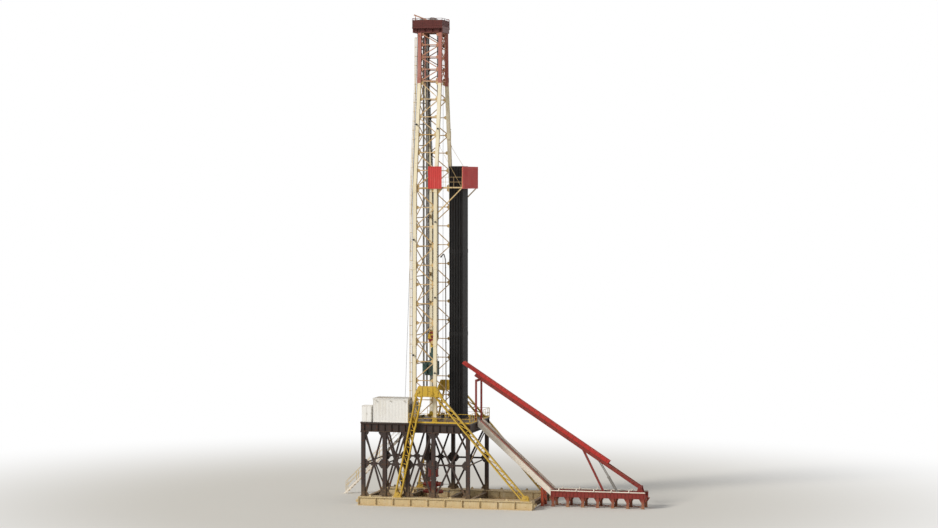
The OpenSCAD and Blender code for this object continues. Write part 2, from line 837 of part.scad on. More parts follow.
module stair_treads() {
  x0 = stair_top_x;
  y = stair_y - stair_w / 2;
  color("Goldenrod") {
    block([x0 + eps, x0 + stair_w + 10], [floor_half + eps, y + stair_w], [floor_h - 10, floor_h]);
    for (i = [1 : treads]) translate([x0 - i * go, 0, floor_h - i * rise])
      block([0, go - 2], [y + 6, y + stair_w - 6], [-3, 0]);
  }
}

module stair_rails() {
  x0 = stair_top_x;
  n = 7;
  color("Gold") for (s = [-1, 1]) translate([0, stair_y + s * (stair_w / 2 - 3), 0]) xz(rail_w) {
    for (h = [rail_h - rail_w, rail_h / 2]) polygon([
      [x0, floor_h + h], [x0, floor_h + h + rail_w],
      [x0 - treads * go, rise + h + rail_w], [x0 - treads * go, rise + h]
    ]);
    for (i = [1 : n]) {
      x = x0 - i * treads * go / n;
      zb = floor_h + (x - x0) - 4 + eps;
      polygon([[x, zb], [x + rail_w, zb + rail_w], [x + rail_w, zb + rail_h], [x, zb + rail_h]]);
    }
  }
}

module handrails() {
  floor_rails();
  stair_rails();
}

base_boxes();
posts();
substructure_bracing();
floor_girders();
floor_beams();
drill_floor();
rotary_housing();
rotary_table();
bop_stack();
a_frame_rear_legs();
a_frame_front_legs();
a_frame_heads();
mast_lower_sides();
mast_upper_sides();
mast_back();
mast_top_sides();
mast_top_faces();
crown_frame();
crown_sheaves();
crown_rails();
racking_sides();
racking_walkway();
racking_fingers();
windbreak_front();
windbreak_sides();
setback_mats();
pipe_stands();
travelling_block();
top_drive();
links_and_elevator();
drilling_lines();
fast_and_dead_lines();
drawworks();
doghouse_long_walls();
doghouse_end_walls();
doghouse_roof();
doghouse_fittings();
handrails();
ramp();
ramp_and_stair_sides();
catwalk_deck();
catwalk_frame();
trough_carrier();
pipe_trough();
stair_treads();
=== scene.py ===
import bpy
import bmesh
import math
from mathutils import Matrix, Vector


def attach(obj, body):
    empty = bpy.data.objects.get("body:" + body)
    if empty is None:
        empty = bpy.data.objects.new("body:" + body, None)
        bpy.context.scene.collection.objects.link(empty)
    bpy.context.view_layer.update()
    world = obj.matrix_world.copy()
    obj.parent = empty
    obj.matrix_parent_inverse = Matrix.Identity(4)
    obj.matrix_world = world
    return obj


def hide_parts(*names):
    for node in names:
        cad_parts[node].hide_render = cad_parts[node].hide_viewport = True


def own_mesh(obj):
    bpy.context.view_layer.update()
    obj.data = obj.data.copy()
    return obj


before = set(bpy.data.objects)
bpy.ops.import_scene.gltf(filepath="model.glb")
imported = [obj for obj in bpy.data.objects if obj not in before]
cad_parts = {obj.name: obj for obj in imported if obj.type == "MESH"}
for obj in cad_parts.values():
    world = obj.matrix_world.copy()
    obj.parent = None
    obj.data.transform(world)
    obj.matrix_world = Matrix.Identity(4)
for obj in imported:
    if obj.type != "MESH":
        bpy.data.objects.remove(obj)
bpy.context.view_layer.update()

print("frame loaded:", len(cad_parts), "solids")


# Land drilling rig at one tenth of its real size. The numbers below are millimetres, as in the CAD source.

def at(x, y, z):
    return Vector((x, y, z)) * 0.001


def placed(x, y, z, axis="X", angle=90):
    return Matrix.Translation(at(x, y, z)) @ Matrix.Rotation(math.radians(angle), 4, axis)


def circle(count, radius, start=0.0):
    angles = [start + k * math.tau / count for k in range(count)]
    return [(radius * math.cos(a), radius * math.sin(a)) for a in angles]


def paint(code):
    parts = [int(code[i:i + 2], 16) / 255 for i in (0, 2, 4)]
    return tuple(((c + 0.055) / 1.055) ** 2.4 if c > 0.04045 else c / 12.92 for c in parts) + (1.0,)


# mesh helpers, all of them adding to one bmesh

def addBlock(bm, x, y, z, place=Matrix(), bevel=0.0):
    x, y, z = sorted(x), sorted(y), sorted(z)
    size = at(x[1] - x[0], y[1] - y[0], z[1] - z[0])
    spot = Matrix.Translation(at((x[0] + x[1]) / 2, (y[0] + y[1]) / 2, (z[0] + z[1]) / 2))
    whole = place @ spot @ Matrix.Diagonal((*size, 1.0))
    made = bmesh.ops.create_cube(bm, size=1.0, matrix=whole, calc_uvs=False)
    if bevel:
        edges = list({e for vert in made["verts"] for e in vert.link_edges})
        bmesh.ops.bevel(bm, geom=edges, offset=bevel * 0.001, offset_type="OFFSET", profile_type="SUPERELLIPSE",
                        segments=1, profile=0.5, affect="EDGES", clamp_overlap=True, material=-1)


def addRod(bm, p, q, r, sides=10, endR=None, place=Matrix()):
    a, b = place @ at(*p), place @ at(*q)
    turn = (b - a).to_track_quat("Z", "Y").to_matrix().to_4x4()
    bmesh.ops.create_cone(bm, cap_ends=True, cap_tris=False, segments=sides, radius1=r * 0.001,
                          radius2=(r if endR is None else endR) * 0.001, depth=(b - a).length,
                          matrix=Matrix.Translation((a + b) / 2) @ turn, calc_uvs=False)


def addBar(bm, p, q, wide, thick, flat=(0, 1, 0), place=Matrix()):
    a, b = place @ at(*p), place @ at(*q)  # thick is measured along flat
    along = (b - a).normalized()
    face = place.to_3x3() @ Vector(flat)
    face = (face - along * face.dot(along)).normalized()
    turn = Matrix((along, face, along.cross(face))).transposed().to_4x4()
    size = Matrix.Diagonal(((b - a).length, thick * 0.001, wide * 0.001, 1.0))
    bmesh.ops.create_cube(bm, size=1.0, matrix=Matrix.Translation((a + b) / 2) @ turn @ size, calc_uvs=False)


def addPlate(bm, outline, thick, place):
    verts = [bm.verts.new(place @ at(x, y, -thick / 2)) for x, y in outline]
    face = bm.faces.new(verts)
    made = bmesh.ops.extrude_face_region(bm, geom=[face], edges_exclude=set(), use_keep_orig=False,
                                         use_normal_flip=False, use_normal_from_adjacent=False,
                                         use_dissolve_ortho_edges=False, use_select_history=False)
    moved = [g for g in made["geom"] if isinstance(g, bmesh.types.BMVert)]
    bmesh.ops.translate(bm, vec=place.to_3x3() @ at(0, 0, thick), space=Matrix(), verts=moved)


def addArc(bm, centre, radius, wire, axis, start, angle, sides=8, steps=18):
    # a bent rod round centre, its first end in the direction start
    begin = Vector(start).normalized()
    turn = Vector(axis).cross(begin).to_track_quat("Z", "Y").to_matrix().to_4x4()
    spot = at(*centre) + begin * radius * 0.001
    made = bmesh.ops.create_circle(bm, cap_ends=False, cap_tris=False, segments=sides, radius=wire * 0.001,
                                   matrix=Matrix.Translation(spot) @ turn, calc_uvs=False)
    whole = abs(angle) > 359.9
    ring = made["verts"] + list({e for vert in made["verts"] for e in vert.link_edges})
    spun = bmesh.ops.spin(bm, geom=ring, cent=at(*centre), axis=Vector(axis), dvec=Vector((0, 0, 0)),
                          angle=math.radians(angle), space=Matrix(), steps=steps, use_merge=whole,
                          use_normal_flip=False, use_duplicate=False)
    if not whole:
        first = [g for g in ring if isinstance(g, bmesh.types.BMEdge)]
        last = [g for g in spun["geom_last"] if isinstance(g, bmesh.types.BMEdge)]
        bmesh.ops.contextual_create(bm, geom=first, mat_nr=0, use_smooth=False)
        bmesh.ops.contextual_create(bm, geom=last, mat_nr=0, use_smooth=False)


def addTurned(bm, profile, place, steps=24):
    # profile of radius and height, closed on the axis at both ends
    verts = [bm.verts.new(place @ at(r, 0, z)) for r, z in profile]
    edges = [bm.edges.new(pair) for pair in zip(verts, verts[1:])]
    bmesh.ops.spin(bm, geom=verts + edges, cent=place.to_translation(), axis=place.to_3x3() @ Vector((0, 0, 1)),
                   dvec=Vector((0, 0, 0)), angle=math.tau, space=Matrix(), steps=steps, use_merge=True,
                   use_normal_flip=False, use_duplicate=False)


def addPipe(bm, points, r, bend=20, sides=2):
    # a tube through the points, its corners rounded
    spots = [at(*p) for p in points]
    path = [spots[0]]
    for before, corner, after in zip(spots, spots[1:], spots[2:]):
        reach = min(bend * 0.001, (before - corner).length / 2.1, (after - corner).length / 2.1)
        a = corner + (before - corner).normalized() * reach
        b = corner + (after - corner).normalized() * reach
        path += [a.lerp(corner, t).lerp(corner.lerp(b, t), t) for t in (0, 0.25, 0.5, 0.75, 1)]
    path.append(spots[-1])
    curve = bpy.data.curves.new("pipePath", "CURVE")
    curve.dimensions = "3D"
    curve.bevel_depth = r * 0.001
    curve.bevel_resolution = sides
    curve.use_fill_caps = True
    line = curve.splines.new("POLY")
    line.points.add(len(path) - 1)
    for point, spot in zip(line.points, path):
        point.co = (*spot, 1.0)
    holder = bpy.data.objects.new("pipePath", curve)
    mesh = bpy.data.meshes.new_from_object(holder)
    bm.from_mesh(mesh)
    bpy.data.objects.remove(holder)
    bpy.data.curves.remove(curve)
    bpy.data.meshes.remove(mesh)


def addBolts(bm, spots, r, h, axis):
    turn = Vector(axis).to_track_quat("Z", "Y").to_matrix().to_4x4()
    for spot in spots:
        bmesh.ops.create_cone(bm, cap_ends=True, cap_tris=False, segments=6, radius1=r * 0.001,
                              radius2=r * 0.001, depth=h * 0.001, matrix=Matrix.Translation(at(*spot)) @ turn,
                              calc_uvs=False)


def finishPiece(bm, name, finish, body="rig", smooth=False):
    bmesh.ops.remove_doubles(bm, verts=bm.verts[:], dist=0.000002)
    bmesh.ops.recalc_face_normals(bm, faces=bm.faces[:])
    mesh = bpy.data.meshes.new(name)
    bm.to_mesh(mesh)
    bm.free()
    for face in mesh.polygons:
        face.use_smooth = smooth
    if smooth:
        mesh.set_sharp_from_angle(angle=math.radians(35))
    piece = bpy.data.objects.new(name, mesh)
    bpy.context.scene.collection.objects.link(piece)
    mesh.materials.append(finishes[finish])
    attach(piece, body)
    return piece


# camera, light and floor

view = {"azimuth": 14.0, "distance": 29.0, "target": (0.42, 0.0, 2.72), "height": 3.6, "lens": 98.0}
studio = {"sun": 2.35, "sunFrom": (-0.62, -0.62, 0.52), "softness": 14.0, "ambient": 0.46,
          "floorColour": "dedad2"}


def placeCamera():
    data = bpy.data.cameras.new("viewCamera")
    data.lens = view["lens"]
    data.sensor_width = 36.0
    data.clip_end = 400.0
    camera = bpy.data.objects.new("viewCamera", data)
    bpy.context.scene.collection.objects.link(camera)
    target = Vector(view["target"])
    lift = math.asin((view["height"] - target.z) / view["distance"])
    side = math.radians(view["azimuth"])
    back = Vector((math.sin(side) * math.cos(lift), -math.cos(side) * math.cos(lift), math.sin(lift)))
    camera.location = target + back * view["distance"]
    camera.rotation_euler = back.to_track_quat("Z", "Y").to_euler()
    bpy.context.scene.camera = camera


def addNode(tree, kind, inputs, **settings):
    made = tree.nodes.new(kind)
    for key, value in settings.items():
        setattr(made, key, value)
    for key, value in inputs.items():
        if isinstance(value, bpy.types.NodeSocket):
            tree.links.new(value, made.inputs[key])
        else:
            made.inputs[key].default_value = value
    return made


def emptyMaterial(name):
    material = bpy.data.materials.new(name)
    material.use_nodes = True
    material.node_tree.nodes.clear()
    return material, material.node_tree


def seenDirectly(tree):
    rays = addNode(tree, "ShaderNodeLightPath", {})
    glossy, clear, direct = (rays.outputs["Is %s Ray" % kind] for kind in ("Glossy", "Transmission", "Camera"))
    shine = addNode(tree, "ShaderNodeMath", {0: glossy, 1: clear}, operation="MAXIMUM")
    return addNode(tree, "ShaderNodeMath", {0: direct, 1: shine.outputs[0]}, operation="MAXIMUM")


def lightStage():
    scene = bpy.context.scene
    scene.view_settings.view_transform = "Standard"
    world = bpy.data.worlds.new("studioWorld")
    scene.world = world
    world.use_nodes = True
    tree = world.node_tree
    tree.nodes.clear()
    seen = seenDirectly(tree)
    soft = addNode(tree, "ShaderNodeBackground", {"Color": (0.93, 0.96, 1.0, 1.0),
                                                  "Strength": studio["ambient"]})
    white = addNode(tree, "ShaderNodeBackground", {"Color": (1.0, 1.0, 1.0, 1.0), "Strength": 1.0})
    mixed = addNode(tree, "ShaderNodeMixShader", {0: seen.outputs[0], 1: soft.outputs[0], 2: white.outputs[0]})
    addNode(tree, "ShaderNodeOutputWorld", {"Surface": mixed.outputs[0]})
    sun = bpy.data.lights.new("keyLight", "SUN")
    sun.energy = studio["sun"]
    sun.angle = math.radians(studio["softness"])
    sun.color = (1.0, 0.97, 0.92)
    lamp = bpy.data.objects.new("keyLight", sun)
    lamp.rotation_euler = Vector(studio["sunFrom"]).to_track_quat("Z", "Y").to_euler()
    lamp.location = Vector(studio["sunFrom"]) * 12
    scene.collection.objects.link(lamp)

    bm = bmesh.new()
    bmesh.ops.create_circle(bm, cap_ends=True, cap_tris=False, segments=96, radius=70.0,
                            matrix=Matrix.Translation((0.5, 0.0, -0.0008)), calc_uvs=False)
    mesh = bpy.data.meshes.new("studioFloor")
    bm.to_mesh(mesh)
    bm.free()
    floor = bpy.data.objects.new("studioFloor", mesh)
    scene.collection.objects.link(floor)
    material, tree = emptyMaterial("floorPale")
    coord = addNode(tree, "ShaderNodeTexCoord", {})
    away = addNode(tree, "ShaderNodeVectorMath", {0: coord.outputs["Object"]}, operation="LENGTH")
    fade = addNode(tree, "ShaderNodeMapRange", {"Value": away.outputs["Value"], "From Min": 2.6,
                                                "From Max": 8.5}, interpolation_type="SMOOTHSTEP")
    seen = seenDirectly(tree)
    both = addNode(tree, "ShaderNodeMath", {0: seen.outputs[0], 1: fade.outputs[0]}, operation="MULTIPLY")
    matt = addNode(tree, "ShaderNodeBsdfDiffuse", {"Color": paint(studio["floorColour"])})
    glow = addNode(tree, "ShaderNodeEmission", {"Color": (1.0, 1.0, 1.0, 1.0), "Strength": 1.0})
    mixed = addNode(tree, "ShaderNodeMixShader", {0: both.outputs[0], 1: matt.outputs[0], 2: glow.outputs[0]})
    addNode(tree, "ShaderNodeOutputMaterial", {"Surface": mixed.outputs[0]})
    mesh.materials.append(material)


placeCamera()
lightStage()
print("camera and studio ready")


# finishes: weathered paint, each with fading, rain streaks, chips, rust on the edges and blown sand

columns = ("slot", "colour", "faded", "under", "fade", "rust", "sand", "rough")
paints = {
    "mastLeg": ("cream_paint", "ecdfbd", "f2e9d6", "6b3f22", 0.55, 0.34, 0.45, 0.5, {"bars": "ba9558"}),
    "mastCream": ("cream_paint", "cdaf78", "dcc59c", "5e371e", 0.5, 0.4, 0.5, 0.55, {}),
    "beamCream": ("cream_paint", "cfb98b", "e2d4b4", "7a4a29", 0.5, 0.36, 0.8, 0.6, {"low": 0.09}),
    # darkSteel: dark brown paint, its colour and faded colour made darker still as painted shade for the shadow
    # under the drill floor
    "darkSteel": ("dark_steel", "2b1c15", "44302a", "65371f", 0.42, 0.45, 0.6, 0.6, {"low": 0.25}),
    "floorSteel": ("floor_steel", "3a3735", "57514a", "6d4a33", 0.5, 0.35, 0.35, 0.5,
                   {"metal": 0.35, "tread": 260.0}),
    "floorRed": ("red_paint", "7d1f19", "8f3a2c", "4a423c", 0.4, 0.5, 0.35, 0.45, {}),
    "wornSteel": ("worn_steel", "8b8781", "a29c92", "69452c", 0.5, 0.34, 0.3, 0.38, {"metal": 0.85}),
    "valveRed": ("valve_red", "8c2f22", "9c4634", "43302a", 0.4, 0.42, 0.4, 0.45, {}),
    "yellowPaint": ("yellow_paint", "c9a42c", "d8bd62", "5a3a1e", 0.5, 0.42, 0.5, 0.5, {"low": 0.3}),
    "mastRed": ("mast_red", "a85f52", "bd8376", "7a5638", 0.7, 0.4, 0.4, 0.58, {"bars": "b98a63"}),
    "mastTan": ("mast_red", "b57a5c", "c9a184", "6e4630", 0.7, 0.42, 0.4, 0.58, {}),
    # crownRed: dark red paint, its colour and faded colour made darker as painted shade for the shaded crown
    "crownRed": ("crown_red", "561408", "6c2b17", "3a241a", 0.42, 0.42, 0.25, 0.5, {}),
    "windRed": ("windbreak_red", "cc3a34", "dd6a60", "80554a", 0.5, 0.3, 0.3, 0.5, {}),
    "timber": ("timber", "6d5238", "8d7354", "3a2a1c", 0.6, 0.4, 0.35, 0.8, {"grain": True}),
    "pipeBlack": ("pipe_black", "1b1918", "2e2925", "4f3424", 0.45, 0.33, 0.2, 0.6, {}),
    "drivePaint": ("drive_paint", "2f4a45", "4a625b", "39302a", 0.4, 0.36, 0.4, 0.42, {}),
    "whitePaint": ("white_paint", "f1efea", "e3ddd0", "8a5a38", 0.45, 0.24, 0.28, 0.5, {}),
    "doorGrey": ("pane_and_door", "c9c8c2", "b9b3a5", "6a4a34", 0.5, 0.3, 0.3, 0.5, {}),
    "rampOrange": ("ramp_paint", "b4492b", "c67a58", "5b5048", 0.5, 0.5, 0.45, 0.5, {}),
    "catwalkRed": ("catwalk_red", "83261c", "9a4534", "4b3a30", 0.45, 0.44, 0.55, 0.55, {"low": 0.12}),
    "troughRed": ("trough_red", "b5261d", "c4483a", "5c4a40", 0.4, 0.36, 0.35, 0.45, {}),
    "paleEdge": ("pale_paint", "efe5d6", "decfb8", "8a5132", 0.45, 0.33, 0.4, 0.55, {}),
    "railYellow": ("yellow_paint", "d3ab2c", "dcc272", "5a3a1e", 0.4, 0.34, 0.2, 0.5, {}),
    "rubberBlack": ("pipe_black", "161514", "2a2826", "3a342e", 0.4, 0.2, 0.35, 0.7, {}),
    "lampGlass": ("pane_and_door", "cfd6d6", "c2c4bd", "8e8a80", 0.3, 0.1, 0.2, 0.12, {}),
}
looks = {name: {**dict(zip(columns, row)), **row[-1]} for name, row in paints.items()}


def noise(tree, vector, scale, detail=3.0, roughness=0.6):
    made = addNode(tree, "ShaderNodeTexNoise", {"Vector": vector, "Scale": scale, "Detail": detail,
                                                "Roughness": roughness})
    return made.outputs[0]


def spread(tree, value, low, high, start=0.0, end=1.0):
    made = addNode(tree, "ShaderNodeMapRange", {"Value": value, "From Min": low, "From Max": high,
                                                "To Min": start, "To Max": end}, clamp=True)
    return made.outputs[0]


def combine(tree, kind, a, b, clamp=False):
    return addNode(tree, "ShaderNodeMath", {0: a, 1: b}, operation=kind, use_clamp=clamp).outputs[0]


def blendColour(tree, factor, a, b):
    made = addNode(tree, "ShaderNodeMix", {0: factor, 6: a, 7: b}, data_type="RGBA")
    return made.outputs[2]


def makeFinish(name, look):
    material, tree = emptyMaterial(name)
    coord = addNode(tree, "ShaderNodeTexCoord", {}).outputs["Object"]
    surface = addNode(tree, "ShaderNodeNewGeometry", {})
    split = addNode(tree, "ShaderNodeSeparateXYZ", {0: coord})
    facing = addNode(tree, "ShaderNodeSeparateXYZ", {0: surface.outputs["Normal"]})
    patches = noise(tree, coord, 3.2, 4.0)
    stretched = addNode(tree, "ShaderNodeMapping", {"Vector": coord, "Scale": (46.0, 46.0, 2.4)})
    streaks = noise(tree, stretched.outputs[0], 1.0, 4.0)
    mottle = noise(tree, coord, 38.0, 6.0, 0.68)
    broad, long = combine(tree, "MULTIPLY", patches, 0.55), combine(tree, "MULTIPLY", streaks, 0.6)
    faded = combine(tree, "ADD", broad, long)
    fade = spread(tree, faded, 0.74 - look["fade"] * 0.34, 0.95 - look["fade"] * 0.2)
    colour = paint(look["colour"])
    if "bars" in look:  # the lattice bars are duller than the legs
        out = addNode(tree, "ShaderNodeMath", {0: split.outputs[0]}, operation="ABSOLUTE").outputs[0]
        colour = blendColour(tree, spread(tree, out, 0.1, 0.1012), paint(look["bars"]), colour)
    if look.get("grain"):
        planks = addNode(tree, "ShaderNodeMapping", {"Vector": coord, "Scale": (6.0, 160.0, 20.0)})
        colour = blendColour(tree, noise(tree, planks.outputs[0], 1.0, 5.0), colour, paint(look["under"]))
    body = blendColour(tree, fade, colour, paint(look["faded"]))
    rust = combine(tree, "ADD", mottle, combine(tree, "MULTIPLY", streaks, 0.35))
    rust = spread(tree, rust, 0.98 - look["rust"] * 0.5, 1.08 - look["rust"] * 0.5)
    rounded = addNode(tree, "ShaderNodeBevel", {"Radius": 0.0022}, samples=4)
    bent = addNode(tree, "ShaderNodeVectorMath", {0: rounded.outputs[0], 1: surface.outputs["Normal"]},
                   operation="DOT_PRODUCT").outputs["Value"]
    edge = combine(tree, "MULTIPLY", spread(tree, bent, 0.97, 0.8), spread(tree, mottle, 0.42, 0.6))
    wear = combine(tree, "MAXIMUM", rust, edge, True)
    body = blendColour(tree, wear, body, paint(look["under"]))
    upward = spread(tree, facing.outputs[2], 0.35, 0.95)
    lying = combine(tree, "MULTIPLY", upward, spread(tree, patches, 0.3, 0.62))
    dust = combine(tree, "MULTIPLY", lying, look["sand"])
    if "low" in look:  # dust thrown up at the foot
        near = spread(tree, split.outputs[2], look["low"], 0.0)
        splash = combine(tree, "MULTIPLY", near, spread(tree, mottle, 0.3, 0.7))
        dust = combine(tree, "MAXIMUM", dust, combine(tree, "MULTIPLY", splash, 0.7))
    body = blendColour(tree, dust, body, paint("c2a274"))
    dull = combine(tree, "MAXIMUM", wear, dust)
    gloss = spread(tree, dull, 0.0, 1.0, look["rough"], min(look["rough"] + 0.32, 0.95))
    height = combine(tree, "SUBTRACT", mottle, combine(tree, "MULTIPLY", wear, 0.5))
    if "tread" in look:  # raised diamonds of the anti-slip plate
        turned = addNode(tree, "ShaderNodeMapping", {"Vector": coord, "Rotation": (0.0, 0.0, math.radians(45)),
                                                     "Scale": (look["tread"], look["tread"] * 0.5, 1.0)})
        cells = addNode(tree, "ShaderNodeTexVoronoi", {"Vector": turned.outputs[0], "Scale": 1.0,
                                                       "Randomness": 0.0})
        height = combine(tree, "ADD", height, spread(tree, cells.outputs["Distance"], 0.45, 0.3, 0.0, 1.2))
    bump = addNode(tree, "ShaderNodeBump", {"Strength": 0.35, "Distance": 0.0006, "Height": height})
    shader = addNode(tree, "ShaderNodeBsdfPrincipled", {
        "Base Color": body, "Roughness": gloss, "Metallic": look.get("metal", 0.0), "Normal": bump.outputs[0]})
    addNode(tree, "ShaderNodeOutputMaterial", {"Surface": shader.outputs[0]})
    return material


def makeRope():
    material, tree = emptyMaterial("wireRope")
    coord = addNode(tree, "ShaderNodeTexCoord", {}).outputs["Object"]
    twist = addNode(tree, "ShaderNodeTexWave", {"Vector": coord, "Scale": 95.0, "Distortion": 0.6},
                    wave_type="BANDS", bands_direction="DIAGONAL")
    grease = noise(tree, coord, 22.0)
    strand = blendColour(tree, spread(tree, twist.outputs[1], 0.2, 0.8), paint("1f1c1a"), paint("5a5550"))
    body = blendColour(tree, spread(tree, grease, 0.45, 0.7), strand, paint("2a211a"))
    bump = addNode(tree, "ShaderNodeBump", {"Strength": 0.6, "Distance": 0.0005, "Height": twist.outputs[1]})
    shader = addNode(tree, "ShaderNodeBsdfPrincipled", {
        "Base Color": body, "Metallic": 0.6, "Normal": bump.outputs[0],
        "Roughness": spread(tree, grease, 0.3, 0.7, 0.35, 0.6)})
    addNode(tree, "ShaderNodeOutputMaterial", {"Surface": shader.outputs[0]})
    return material


def makeGlass():
    material, tree = emptyMaterial("windowGlass")
    coord = addNode(tree, "ShaderNodeTexCoord", {}).outputs["Object"]
    film = noise(tree, coord, 14.0, 4.0)
    tint = blendColour(tree, spread(tree, film, 0.4, 0.75), paint("27343a"), paint("59625f"))
    shader = addNode(tree, "ShaderNodeBsdfPrincipled", {"Base Color": tint, "IOR": 1.5,
                                                        "Roughness": spread(tree, film, 0.35, 0.75, 0.06, 0.3)})
    addNode(tree, "ShaderNodeOutputMaterial", {"Surface": shader.outputs[0]})
    return material


finishes = {name: makeFinish(name, look) for name, look in looks.items()}
looks["wireRope"] = {"slot": "wire_rope"}
looks["windowGlass"] = {"slot": "pane_and_door"}
finishes["wireRope"] = makeRope()
finishes["windowGlass"] = makeGlass()

solidFinish = {  # the solids of each finish
    "beamCream": "base_boxes",
    "darkSteel": "posts substructure_bracing floor_girders floor_beams",
    "floorSteel": "drill_floor",
    "floorRed": "rotary_housing",
    "wornSteel": "rotary_table crown_sheaves links_and_elevator",
    "valveRed": "bop_stack",
    "yellowPaint": "a_frame_rear_legs a_frame_front_legs a_frame_heads racking_fingers travelling_block "
                   "stair_treads",
    "mastLeg": "mast_lower_sides mast_upper_sides",
    "mastCream": "mast_back racking_sides racking_walkway",
    "mastRed": "mast_top_sides",
    "mastTan": "mast_top_faces",
    "crownRed": "crown_frame crown_rails",
    "windRed": "windbreak_front windbreak_sides",
    "timber": "setback_mats",
    "pipeBlack": "pipe_stands",
    "drivePaint": "top_drive drawworks",
    "wireRope": "drilling_lines fast_and_dead_lines",
    "whitePaint": "doghouse_long_walls doghouse_end_walls doghouse_roof",
    "doorGrey": "doghouse_fittings",
    "railYellow": "handrails",
    "rampOrange": "ramp",
    "paleEdge": "ramp_and_stair_sides",
    "catwalkRed": "catwalk_deck catwalk_frame trough_carrier",
    "troughRed": "pipe_trough",
}
finishOf = {node: finish for finish, nodes in solidFinish.items() for node in nodes.split()}
for name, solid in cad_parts.items():
    solid.data.materials.clear()
    solid.data.materials.append(finishes[finishOf[name]])
print("finishes on", len(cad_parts), "solids")


# the mast's legs lean in; half their distance apart at height z

mast = {"x": 120, "foot": 980, "board": 3580, "neck": 4790, "crown": 5340, "half": (380, 345, 150, 130),
        "splices": (1846, 2713, 3580, 4185, 4790), "plate": 1.6, "boltR": 1.8, "leg": 19}
corners = [(side, x) for side in (-1, 1) for x in (-1, 1)]


def legY(z):
    steps = list(zip((mast["foot"], mast["board"], mast["neck"], mast["crown"]), mast["half"]))
    for (z0, y0), (z1, y1) in zip(steps, steps[1:]):
        if z <= z1:
            return y0 + (y1 - y0) * (z - z0) / (z1 - z0)
    return mast["half"][-1]


def mastJoints():
    outline = [(0, -20), (24, -20), (38, -8), (38, 8), (24, 20), (0, 20)]
    for name, finish, z0, z1, bays in (("lower", "mastCream", mast["foot"], mast["board"], 12),
                                       ("upper", "mastCream", mast["board"], mast["neck"], 6),
                                       ("top", "mastTan", mast["neck"], mast["crown"], 4)):
        bm = bmesh.new()
        for i in range(bays + 1):
            z = z0 + i * (z1 - z0) / bays
            z = min(max(z, z0 + 20), z1 - 20)
            for side, x in corners:
                for out in (-1, 1):
                    y = side * (legY(z) + out * 4.3)
                    addPlate(bm, [(-x * a, b) for a, b in outline], mast["plate"], placed(x * 110, y, z))
                    bolts = [(x * a, y + side * out * 1.6, z + b) for a, b in ((93, -11), (93, 11), (80, 0))]
                    addBolts(bm, bolts, mast["boltR"], 1.8, (0, 1, 0))
        finishPiece(bm, "mast_gussets_" + name, finish)
    for name, finish, levels in (("cream", "mastLeg", mast["splices"][:4]),
                                 ("red", "mastRed", mast["splices"][4:])):
        bm = bmesh.new()
        for z in levels:
            for side, x in corners:
                px, py = x * mast["x"], side * legY(z)
                for s in (-1, 1):
                    face = py + s * mast["leg"]
                    addBlock(bm, (px - 21, px + 21), (face, face + s * 3.4), (z - 48, z + 48), bevel=1.2)
                    bolts = [(px + a, face + s * 4.2, z + b) for a in (-13, 13) for b in (-38, -24, 24, 38)]
                    addBolts(bm, bolts, 2.2, 2.4, (0, 1, 0))
                    addBlock(bm, (px + s * 3.5, px + s * 7), (py - 11, py + 11), (z - 42, z + 42))
                addRod(bm, (px - 24, py, z), (px + 24, py, z), 6, 12)
        finishPiece(bm, "mast_splices_" + name, finish)


def mastBackJoints():
    bm = bmesh.new()
    for z0, z1, bays in ((1590, mast["board"], 6), (mast["board"], mast["neck"], 5)):
        for i in range(bays):
            za, zb = z0 + i * (z1 - z0) / bays, z0 + (i + 1) * (z1 - z0) / bays
            wa, wb = legY(za) - mast["leg"], legY(zb) - mast["leg"]
            cross = za + (zb - za) * wa / (wa + wb)
            for x in (-125, -115):
                side = -1 if x < -120 else 1
                turn = placed(x + side * 0.2, 0, cross, "Y")
                addPlate(bm, [(-22, 0), (0, -26), (22, 0), (0, 26)], 2.2, turn)
                bolts = [(x + side * 1.8, y, cross + z) for y, z in ((-11, 0), (11, 0), (0, -10), (0, 10))]
                addBolts(bm, bolts, 1.8, 2, (1, 0, 0))
                for end in (-1, 1):
                    y = end * wa
                    turn = placed(x + side * 0.2, y, za + 4, "Y")
                    addPlate(bm, [(-26, 0), (-20, -end * 20), (12, -end * 26), (16, 0)], 2.2, turn)
                    addBolts(bm, [(x + side * 1.8, y - end * 9, za + 14), (x + side * 1.8, y - end * 15, za)],
                             1.8, 2, (1, 0, 0))
    finishPiece(bm, "mast_back_gussets", "mastCream")


ladder = {"width": 40, "pitch": 30, "hoop": 105, "rungR": 1.4, "rail": 3.0}


